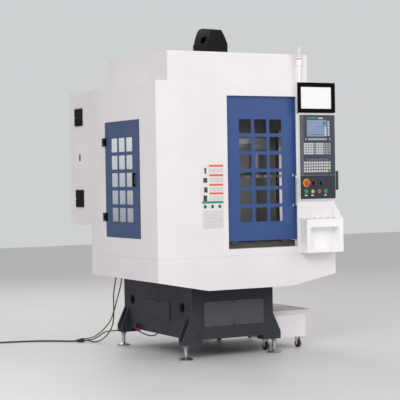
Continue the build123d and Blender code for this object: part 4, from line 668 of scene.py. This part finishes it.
paneLook = {
    "tint": colour(46, 48, 50), "alpha": 0.08, "roughness": (0.04, 0.16), "specular": 0.35,
    "smear": 7, "stretch": (1, 1, 0.4), "tintLimits": (0.35, 0.75), "darkest": 0.7,
    "glossLimits": (0.4, 0.8),
}
lensLook = {**paneLook, "tint": colour(250, 248, 248), "alpha": 0.86}
frostedLook = {
    "tint": colour(214, 221, 227), "alpha": 0.94, "roughness": (0.28, 0.42),
    "cloud": 5, "fine": 1100, "darkest": 0.95, "relief": 0.3, "depth": 0.0001,
    # painted shade: the heights between which the glass goes from painted dark to painted light,
    # and the shades at them
    "heights": (0.94, 1.56), "shades": (0.63, 1.34),
}
beaconRing = {"z": (2.056, 2.066), "soft": 0.0006, "tint": colour(222, 158, 150)}


def clearPane(name, values):
    # clear glass with faint upright smears in its tint and gloss
    finish, tree, shader, place = newFinish(name)
    smear = grain(tree, place, values["smear"], detail=5, rough=0.7, stretch=values["stretch"])
    base = mottled(tree, smear, values["tint"], 1, values["darkest"], values["tintLimits"])
    gloss = rescale(tree, smear, *values["glossLimits"], *values["roughness"])
    connect(tree, shader, base, gloss)
    setAll(shader, alpha=values["alpha"], specular=values["specular"])
    return finish


def frostedPane(name, values):
    # ground glass with painted shade: darker towards its foot and lighter towards its top
    finish, tree, shader, place = newFinish(name)
    cloud = grain(tree, place, values["cloud"], detail=4, rough=0.6)
    fine = grain(tree, place, values["fine"], detail=2, rough=0.5)
    paintedHeightShade = rescale(tree, split(tree, place)["Z"], *values["heights"], *values["shades"])
    base = mottled(tree, cloud, values["tint"], values["darkest"], 1)
    dim = tree.nodes.new("ShaderNodeVectorMath")
    dim.operation = "SCALE"
    tree.links.new(base, dim.inputs[0])
    tree.links.new(paintedHeightShade, dim.inputs["Scale"])
    gloss = spread(tree, fine, *values["roughness"])
    connect(tree, shader, dim.outputs["Vector"], gloss)
    relief(tree, shader, fine, values["relief"], values["depth"])
    setAll(shader, alpha=values["alpha"])
    return finish


dress(clearPane("doorGlass", paneLook), "front_door_glass")
dress(frostedPane("sideGlass", frostedLook), "side_door_glass")
dress(clearPane("beaconClear", lensLook), "beacon_lens")
beaconColumn = coatedSheet("beaconColumn", beaconCoat)
paintOver(beaconColumn, [({"Z": beaconRing["z"]}, beaconRing["tint"])], beaconRing["soft"])
dress(beaconColumn, "beacon_body")
print("glass dressed")

# control panel

panelLayout = {
    "soft": 0.001, "lower": (1.0, 1.249), "lowerTint": colour(20, 34, 48),
    "band": (1.105, 1.131, 1.249, 1.672), "bandTint": colour(112, 112, 124), "bandShare": 0.45,
    "stop": (1.149, 1.196), "collarRadius": 0.0285, "collarTint": colour(226, 188, 62),
    "bezelX": (1.145, 1.198, 1.254, 1.307), "bezelZ": 1.136, "bezelRadius": 0.0158,
    "bezelTint": colour(120, 122, 126),
}
panelStrips = [
    (1.163, 1.240, 1.645, 1.655, colour(48, 140, 122)),
    (1.254, 1.292, 1.643, 1.651, colour(214, 214, 218)),
    (1.104, 1.394, 1.2465, 1.2515, colour(120, 118, 132)),
]


def distance(tree, across, up):
    squares = [sums(tree, "MULTIPLY", side, side) for side in (across, up)]
    return sums(tree, "SQRT", sums(tree, "ADD", *squares))


def disc(tree, parts, x, z, radius):
    # 1 inside a circle on a face that looks to the front
    across = sums(tree, "SUBTRACT", parts["X"], corner.x + x)
    up = sums(tree, "SUBTRACT", parts["Z"], z)
    return rescale(tree, distance(tree, across, up), radius, radius + softEdge, 1, 0)


def panelFinish(name, look, layout, strips):
    # a darker lower part, a pale band beside the keys, a collar and rings under the buttons
    finish = mouldedPlastic(name, look)
    tree, shader, base = painted(finish)
    parts = split(tree, objectPlace(tree))
    lower = within(tree, parts["Z"], *layout["lower"], layout["soft"])
    base = blendColours(tree, lower, base, layout["lowerTint"])
    band = field(tree, parts, *layout["band"], layout["soft"])
    faint = sums(tree, "MULTIPLY", band, layout["bandShare"])
    base = blendColours(tree, faint, base, layout["bandTint"])
    collar = disc(tree, parts, *layout["stop"], layout["collarRadius"])
    base = blendColours(tree, collar, base, layout["collarTint"])
    for x in layout["bezelX"]:
        ring = disc(tree, parts, x, layout["bezelZ"], layout["bezelRadius"])
        base = blendColours(tree, ring, base, layout["bezelTint"])
    base = paintFields(tree, parts, base, strips)
    tree.links.new(base, shader.inputs["Base Color"])
    return finish


dress(panelFinish("controlPanelSkin", panelLook, panelLayout, panelStrips), "control_panel")

keyLook = {
    "light": colour(206, 207, 210), "cloud": 60, "fine": 1500, "darkest": 0.94,
    "roughness": (0.35, 0.5), "relief": 0.25, "depth": 0.00005,
}
greyKeys = colour(150, 153, 162)
keyGroups = [
    (1.212, 1.232, 1.39, 1.48, greyKeys),
    (1.295, 1.360, 1.39, 1.48, greyKeys),
    (1.125, 1.360, 1.345, 1.39, colour(104, 108, 120)),
    (1.334, 1.360, 1.309, 1.328, colour(212, 214, 96)),
    (1.334, 1.360, 1.268, 1.288, colour(66, 176, 136)),
]


def keysFinish(name, look, groups):
    # the keys' colours by their place: light ones, grey groups among them, and two coloured ones
    finish, tree, shader, place = newFinish(name)
    cloud = grain(tree, place, look["cloud"], detail=3, rough=0.5)
    fine = grain(tree, place, look["fine"], detail=2, rough=0.5)
    base = mottled(tree, cloud, look["light"], look["darkest"], 1)
    base = paintFields(tree, split(tree, place), base, groups)
    connect(tree, shader, base, spread(tree, fine, *look["roughness"]))
    relief(tree, shader, fine, look["relief"], look["depth"])
    return finish


dress(keysFinish("keyCaps", keyLook, keyGroups), "panel_keys")

screenLook = {
    "monitor": colour(230, 230, 228), "page": colour(111, 132, 157), "cloud": 8, "lightest": 1.1,
    "split": (1.674, 1.675), "roughness": (0.08, 0.16), "specular": 0.35, "glow": 0.13,
}
pageBlue = colour(62, 84, 138)
pageFields = [
    (1.310, 1.322, 1.524, 1.588, colour(176, 186, 204)),
    (1.246, 1.304, 1.589, 1.592, pageBlue),
    (1.243, 1.246, 1.578, 1.592, pageBlue),
    (1.292, 1.318, 1.600, 1.626, pageBlue),
    (1.170, 1.186, 1.545, 1.548, pageBlue),
    (1.196, 1.212, 1.548, 1.551, pageBlue),
    (1.165, 1.304, 1.530, 1.535, pageBlue),
]


def screenFinish(name, look, fields):
    # the upper screen is plain white; the lower one shows a page of plain fields and a tool path
    finish, tree, shader, place = newFinish(name)
    parts = split(tree, place)
    cloud = grain(tree, place, look["cloud"], detail=3, rough=0.5)
    page = mottled(tree, cloud, look["page"], 1, look["lightest"])
    page = paintFields(tree, parts, page, fields)
    upper = rescale(tree, parts["Z"], *look["split"], 0, 1)
    picture = blendColours(tree, upper, page, look["monitor"])
    connect(tree, shader, picture, spread(tree, cloud, *look["roughness"]))
    tree.links.new(picture, shader.inputs["Emission Color"])
    setAll(shader, specular=look["specular"], glow=look["glow"])
    return finish


dress(screenFinish("litScreens", screenLook, pageFields), "display_screens")

dialLook = {
    "tint": colour(52, 53, 56), "roughness": (0.3, 0.42), "marks": 100, "markLimits": (0.5, 0.8),
    "markRing": (0.0225, 0.0255), "markSoft": 0.0002, "markTint": colour(230, 230, 226),
}


def dialFinish(name, look):
    # dark metal dial with a ring of fine pale marks near its rim
    finish, tree, shader, place = bareMetal(name, look)
    parts = split(tree, place)
    low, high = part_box("handwheel_dial")
    across = sums(tree, "SUBTRACT", parts["Y"], (low.y + high.y) / 2)
    up = sums(tree, "SUBTRACT", parts["Z"], (low.z + high.z) / 2)
    angle = sums(tree, "ARCTAN2", up, across)
    teeth = sums(tree, "SINE", sums(tree, "MULTIPLY", angle, look["marks"]))
    mark = rescale(tree, teeth, *look["markLimits"], 0, 1)
    ring = within(tree, distance(tree, across, up), *look["markRing"], look["markSoft"])
    base = painted(finish)[2]
    marked = blendColours(tree, sums(tree, "MULTIPLY", mark, ring), base, look["markTint"])
    tree.links.new(marked, shader.inputs["Base Color"])
    return finish


dress(dialFinish("dialFace", dialLook), "handwheel_dial")
print("control panel dressed")

# new pieces: how they are made and fastened

facingFront = Matrix.Identity(4)
facingLeft = Matrix.Rotation(math.radians(-90), 4, "Z")
facingRight = Matrix.Rotation(math.radians(90), 4, "Z")
panelThickness = 0.006
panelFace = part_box("control_box")[0].y - panelThickness


def pickFront(piece):
    # selects only the faces that look to the front, and leaves edit mode on
    bpy.ops.object.mode_set(mode="EDIT")
    bpy.ops.mesh.select_mode(type="FACE")
    bpy.ops.mesh.select_all(action="DESELECT")
    bpy.ops.object.mode_set(mode="OBJECT")
    for face in piece.data.polygons:
        face.select = face.normal.y < -0.9
    bpy.ops.object.mode_set(mode="EDIT")


def addBox(centre, size):
    bpy.ops.mesh.primitive_cube_add(size=1, location=centre, scale=size)
    bpy.ops.object.transform_apply(location=True, rotation=True, scale=True)
    return bpy.context.object


def joined(pieces):
    bpy.ops.object.select_all(action="DESELECT")
    for piece in pieces:
        piece.select_set(True)
    bpy.context.view_layer.objects.active = pieces[0]
    bpy.ops.object.join()
    return bpy.context.object


def copiesAt(first, places):
    # copies of a piece that was made at the origin, in one mesh; the piece itself goes
    made = []
    for place, turn in places:
        piece = first.copy()
        piece.data = first.data.copy()
        piece.matrix_world = Matrix.Translation(place) @ turn
        scene.collection.objects.link(piece)
        made.append(piece)
    bpy.data.objects.remove(first)
    return joined(made)


def settle(piece, name, finish, body):
    bpy.ops.object.mode_set(mode="OBJECT")
    bpy.ops.object.transform_apply(location=True, rotation=True, scale=True)
    piece.name = name
    piece.data.name = name
    piece.data.materials.clear()
    piece.data.materials.append(finish)
    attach(piece, body)
    piece.select_set(False)


screwLook = {"tint": colour(62, 62, 66), "roughness": (0.35, 0.5)}
screwSteel = bareMetal("screwSteel", screwLook)[0]
screwShape = {
    # shares of the head's width, then of its height
    "rim": 0.06, "socketRim": 0.2, "crown": 0.18, "socketDepth": 0.6, "sides": 20, "smooth": 35,
}


def socketScrew(head, height, shape):
    # a cap screw that faces the front, with a socket and a softened rim
    bpy.ops.object.select_all(action="DESELECT")
    bpy.ops.mesh.primitive_cylinder_add(
        vertices=shape["sides"], radius=head / 2, depth=height, location=(0, -height / 2, 0),
        rotation=(math.pi / 2, 0, 0),
    )
    piece = bpy.context.object
    bpy.ops.object.transform_apply(location=True, rotation=True, scale=True)
    pickFront(piece)
    bpy.ops.mesh.inset(thickness=head * shape["rim"])
    bpy.ops.transform.translate(value=(0, -height * shape["crown"], 0))
    bpy.ops.mesh.inset(thickness=head * shape["socketRim"])
    bpy.ops.mesh.extrude_region_move(
        TRANSFORM_OT_translate={"value": (0, height * shape["socketDepth"], 0)}
    )
    bpy.ops.object.mode_set(mode="OBJECT")
    bpy.ops.object.shade_smooth_by_angle(angle=math.radians(shape["smooth"]))
    return piece


coverScrews = {
    "head": 0.011, "height": 0.004, "inset": 0.010,
    "frontPlate": (0.426, 0.900, 0.223, 0.394), "sidePlate": (0.500, 0.880, 0.238, 0.374),
}


def makeCoverScrews(values):
    # two in the middle of each plate, near its foot and its top
    low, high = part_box("base_covers")
    places = []
    left, right, foot, top = values["frontPlate"]
    for z in (foot + values["inset"], top - values["inset"]):
        places.append((Vector((corner.x + (left + right) / 2, low.y, z)), facingFront))
    near, far, foot, top = values["sidePlate"]
    for z in (foot + values["inset"], top - values["inset"]):
        y = corner.y + (near + far) / 2
        places.append((Vector((low.x, y, z)), facingLeft))
        places.append((Vector((high.x, y, z)), facingRight))
    screws = copiesAt(socketScrew(values["head"], values["height"], screwShape), places)
    settle(screws, "coverScrews", screwSteel, "machine")


makeCoverScrews(coverScrews)

panelScrews = {
    "head": 0.007, "height": 0.0016, "x": (1.111, 1.387),
    "z": (1.092, 1.240, 1.258, 1.460, 1.663),
}


def makePanelScrews(values):
    places = []
    for x in values["x"]:
        for z in values["z"]:
            places.append((Vector((corner.x + x, panelFace, z)), facingFront))
    screws = copiesAt(socketScrew(values["head"], values["height"], screwShape), places)
    settle(screws, "panelScrews", screwSteel, "machine")


makePanelScrews(panelScrews)

placard = {
    "left": 0.334, "right": 0.501, "foot": 0.898, "top": 1.331, "thickness": 0.0006,
    "corner": 0.004, "cornerSteps": 4,
}
placardPrint = {
    "papers": (colour(226, 224, 224), colour(234, 232, 232)), "cloud": 30, "soft": 0.0008,
    "roughness": (0.3, 0.42), "peel": 900, "relief": 0.2, "depth": 0.00004,
    "rows": [(1.316, 1.330), (1.252, 1.266), (1.188, 1.202), (1.130, 1.144)],
    "rowX": (0.392, 0.499), "rowTint": colour(222, 112, 58),
    "icons": [
        (0.356, 0.370, 0.040), (0.347, 0.377, 0.032), (0.352, 0.378, 0.036), (0.346, 0.374, 0.042),
    ],
    "iconDrop": 0.026, "iconTint": colour(62, 62, 66),
    "greyDrops": (0.040, 0.010), "greyTint": colour(214, 212, 212),
    "bar": (0.336, 0.499, 1.070, 1.086, colour(46, 150, 112)),
    "square": (0.348, 0.368, 1.038, 1.060), "squares": 3, "squareStep": 0.056,
    "squareTint": colour(70, 70, 74),
    "line": (0.342, 0.493, 0.908, 0.912), "lines": 12, "lineStep": 0.0098,
    "lineTint": colour(196, 194, 194),
}


def placardFields(values):
    # plain colour fields where such a machine carries its notices: nothing is written on them
    rows = values["rows"]
    fields = [(*values["rowX"], foot, top, values["rowTint"]) for foot, top in rows]
    for (left, right, tall), (foot, top) in zip(values["icons"], rows):
        middle = foot - values["iconDrop"]
        fields.append((left, right, middle - tall / 2, middle + tall / 2, values["iconTint"]))
    deep, shallow = values["greyDrops"]
    for foot, top in rows:
        fields.append((*values["rowX"], foot - deep, foot - shallow, values["greyTint"]))
    fields.append(values["bar"])
    left, right, foot, top = values["square"]
    for index in range(values["squares"]):
        along = index * values["squareStep"]
        fields.append((left + along, right + along, foot, top, values["squareTint"]))
    left, right, foot, top = values["line"]
    for index in range(values["lines"]):
        up = index * values["lineStep"]
        fields.append((left, right, foot + up, top + up, values["lineTint"]))
    return fields


def placardFinish(name, values):
    finish, tree, shader, place = newFinish(name)
    cloud = grain(tree, place, values["cloud"], detail=3, rough=0.5)
    base = blendColours(tree, spread(tree, cloud, 0, 1), *values["papers"])
    base = paintFields(tree, split(tree, place), base, placardFields(values), values["soft"])
    connect(tree, shader, base, spread(tree, cloud, *values["roughness"]))
    fine = grain(tree, place, values["peel"], detail=2, rough=0.5)
    relief(tree, shader, fine, values["relief"], values["depth"])
    return finish


def makePlacard(values):
    # a thin plate on the front panel, with its four corners rounded
    bpy.ops.object.select_all(action="DESELECT")
    thickness = values["thickness"]
    middleX = (values["left"] + values["right"]) / 2
    middleZ = (values["foot"] + values["top"]) / 2
    size = (values["right"] - values["left"], thickness, values["top"] - values["foot"])
    piece = addBox(spot(middleX, -thickness / 2, middleZ), size)
    bpy.ops.object.mode_set(mode="EDIT")
    bpy.ops.mesh.select_mode(type="EDGE")
    bpy.ops.mesh.select_all(action="DESELECT")
    bpy.ops.object.mode_set(mode="OBJECT")
    for edge in piece.data.edges:
        first, second = (piece.data.vertices[index].co for index in edge.vertices)
        edge.select = abs(first.y - second.y) > thickness / 2
    bpy.ops.object.mode_set(mode="EDIT")
    bpy.ops.mesh.bevel(offset=values["corner"], segments=values["cornerSteps"])
    settle(piece, "placard", placardFinish("placardPrint", placardPrint), "machine")


makePlacard(placard)

numeral = {
    "text": "1", "y": 1.274, "foot": 1.3885, "height": 0.041, "depth": 0.0006, "bold": 0.004,
    "wide": 1.8, "capShare": 0.73, "weld": 0.00001,
}


def makeNumeral(values):
    # the cabinet's number, on its left side
    bpy.ops.object.select_all(action="DESELECT")
    bpy.ops.object.text_add(location=(0, 0, 0))
    piece = bpy.context.object
    piece.data.body = values["text"]
    piece.data.align_x = "CENTER"
    piece.data.size = values["height"] / values["capShare"]
    piece.data.extrude = values["depth"]
    piece.data.offset = values["bold"]
    bpy.ops.object.convert(target="MESH")
    piece = bpy.context.object
    place = spot(0, values["y"], values["foot"])
    turn = facingLeft @ Matrix.Rotation(math.radians(90), 4, "X")
    wide = Matrix.Diagonal((values["wide"], 1, 1, 1))
    piece.matrix_world = Matrix.Translation(place) @ turn @ wide
    bpy.ops.object.mode_set(mode="EDIT")
    bpy.ops.mesh.select_all(action="SELECT")
    bpy.ops.mesh.remove_doubles(threshold=values["weld"])
    settle(piece, "cabinetNumeral", blackPaint, "machine")


makeNumeral(numeral)

legendLook = {
    "tint": colour(214, 214, 212), "roughness": (0.4, 0.5), "peel": 800, "depth": 0.00003,
}
legendPaint = mouldedPlastic("legendPrint", legendLook)
labels = {
    "x": (1.145, 1.198, 1.307), "z": 1.1095, "width": 0.020, "height": 0.008,
    "thickness": 0.0008, "rim": 0.0008,
}
ticks = {
    "x": (1.211, 1.274), "z": 1.196, "inner": 0.0175, "outer": 0.0205, "count": 11,
    "sweep": 270, "thickness": 0.0004, "width": 0.0012,
}


def makeLegends(plates, marks):
    # blank plates under the buttons and a scale of plain ticks round each knob
    bpy.ops.object.select_all(action="DESELECT")
    made = []
    for x in plates["x"]:
        place = Vector((corner.x + x, panelFace - plates["thickness"] / 2, plates["z"]))
        piece = addBox(place, (plates["width"], plates["thickness"], plates["height"]))
        pickFront(piece)
        bpy.ops.mesh.inset(thickness=plates["rim"])
        bpy.ops.object.mode_set(mode="OBJECT")
        made.append(piece)
    reach = (marks["inner"] + marks["outer"]) / 2
    size = (marks["outer"] - marks["inner"], marks["thickness"], marks["width"], 1)
    for x in marks["x"]:
        for index in range(marks["count"]):
            turned = index * marks["sweep"] / (marks["count"] - 1) - marks["sweep"] / 2
            angle = math.radians(90 + turned)
            place = spot(x + reach * math.cos(angle), 0, marks["z"] + reach * math.sin(angle))
            place.y = panelFace - marks["thickness"] / 2
            bpy.ops.mesh.primitive_cube_add(size=1)
            piece = bpy.context.object
            bpy.ops.object.mode_set(mode="EDIT")
            bpy.ops.mesh.subdivide(number_cuts=1)
            bpy.ops.object.mode_set(mode="OBJECT")
            turn = Matrix.Rotation(-angle, 4, "Y")
            piece.matrix_world = Matrix.Translation(place) @ turn @ Matrix.Diagonal(size)
            made.append(piece)
    settle(joined(made), "panelLegends", legendPaint, "machine")


makeLegends(labels, ticks)
print("new pieces made")

# floor and light

floorLook = {
    "size": 30, "tint": colour(226, 225, 223), "cloud": 1.4, "darkest": 0.95,
    "roughness": (0.42, 0.58),
}
lamps = {
    "key": {"place": (-3.4, -5.2, 4.6), "aim": (0.6, 0.4, 1.1), "size": 3.2, "power": 222},
    "fill": {"place": (4.6, -4.2, 3.0), "aim": (0.8, 0.3, 1.1), "size": 3.0, "power": 66},
    "rear": {"place": (1.2, 5.4, 4.6), "aim": (0.6, 0.6, 1.2), "size": 3.0, "power": 90},
    "inside": {"place": (0.80, 0.13, 0.86), "aim": (1.25, 0.95, 1.15), "size": 0.10, "power": 7},
}
sky = {"tint": colour(238, 236, 236), "strength": 0.64, "seenTint": colour(206, 208, 210)}


def makeFloor(values):
    bpy.ops.object.select_all(action="DESELECT")
    bpy.ops.mesh.primitive_plane_add(size=values["size"], location=(0, 0, 0))
    floor = bpy.context.object
    floor.name = "studioFloor"
    finish, tree, shader, place = newFinish("studioFloor")
    cloud = grain(tree, place, values["cloud"], detail=5, rough=0.6)
    base = mottled(tree, cloud, values["tint"], values["darkest"], 1)
    connect(tree, shader, base, spread(tree, cloud, *values["roughness"]))
    floor.data.materials.append(finish)
    floor.select_set(False)


def placeLamp(name, values):
    bpy.ops.object.light_add(type="AREA", location=spot(*values["place"]))
    lamp = bpy.context.object
    lamp.name = name
    lamp.data.shape = "SQUARE"
    lamp.data.size = values["size"]
    lamp.data.energy = values["power"]
    aim = spot(*values["aim"]) - lamp.location
    lamp.rotation_euler = aim.to_track_quat("-Z", "Y").to_euler()
    lamp.select_set(False)


def makeSky(values):
    # one tint lights the scene; another is what the camera, mirrors and glass see
    world = bpy.data.worlds.new("studio")
    scene.world = world
    world.use_nodes = True
    tree = world.node_tree
    light = tree.nodes["Background"]
    light.inputs["Color"].default_value = values["tint"]
    light.inputs["Strength"].default_value = values["strength"]
    seen = tree.nodes.new("ShaderNodeBackground")
    seen.inputs["Color"].default_value = values["seenTint"]
    rays = tree.nodes.new("ShaderNodeLightPath")
    glossy = sums(tree, "MAXIMUM", rays.outputs["Is Camera Ray"], rays.outputs["Is Glossy Ray"])
    direct = sums(tree, "MAXIMUM", glossy, rays.outputs["Is Transmission Ray"])
    mix = tree.nodes.new("ShaderNodeMixShader")
    tree.links.new(direct, mix.inputs["Fac"])
    tree.links.new(light.outputs["Background"], mix.inputs[1])
    tree.links.new(seen.outputs["Background"], mix.inputs[2])
    tree.links.new(mix.outputs["Shader"], tree.nodes["World Output"].inputs["Surface"])


makeFloor(floorLook)
for lampName, lampValues in lamps.items():
    placeLamp(lampName, lampValues)
makeSky(sky)
print("floor and light placed")
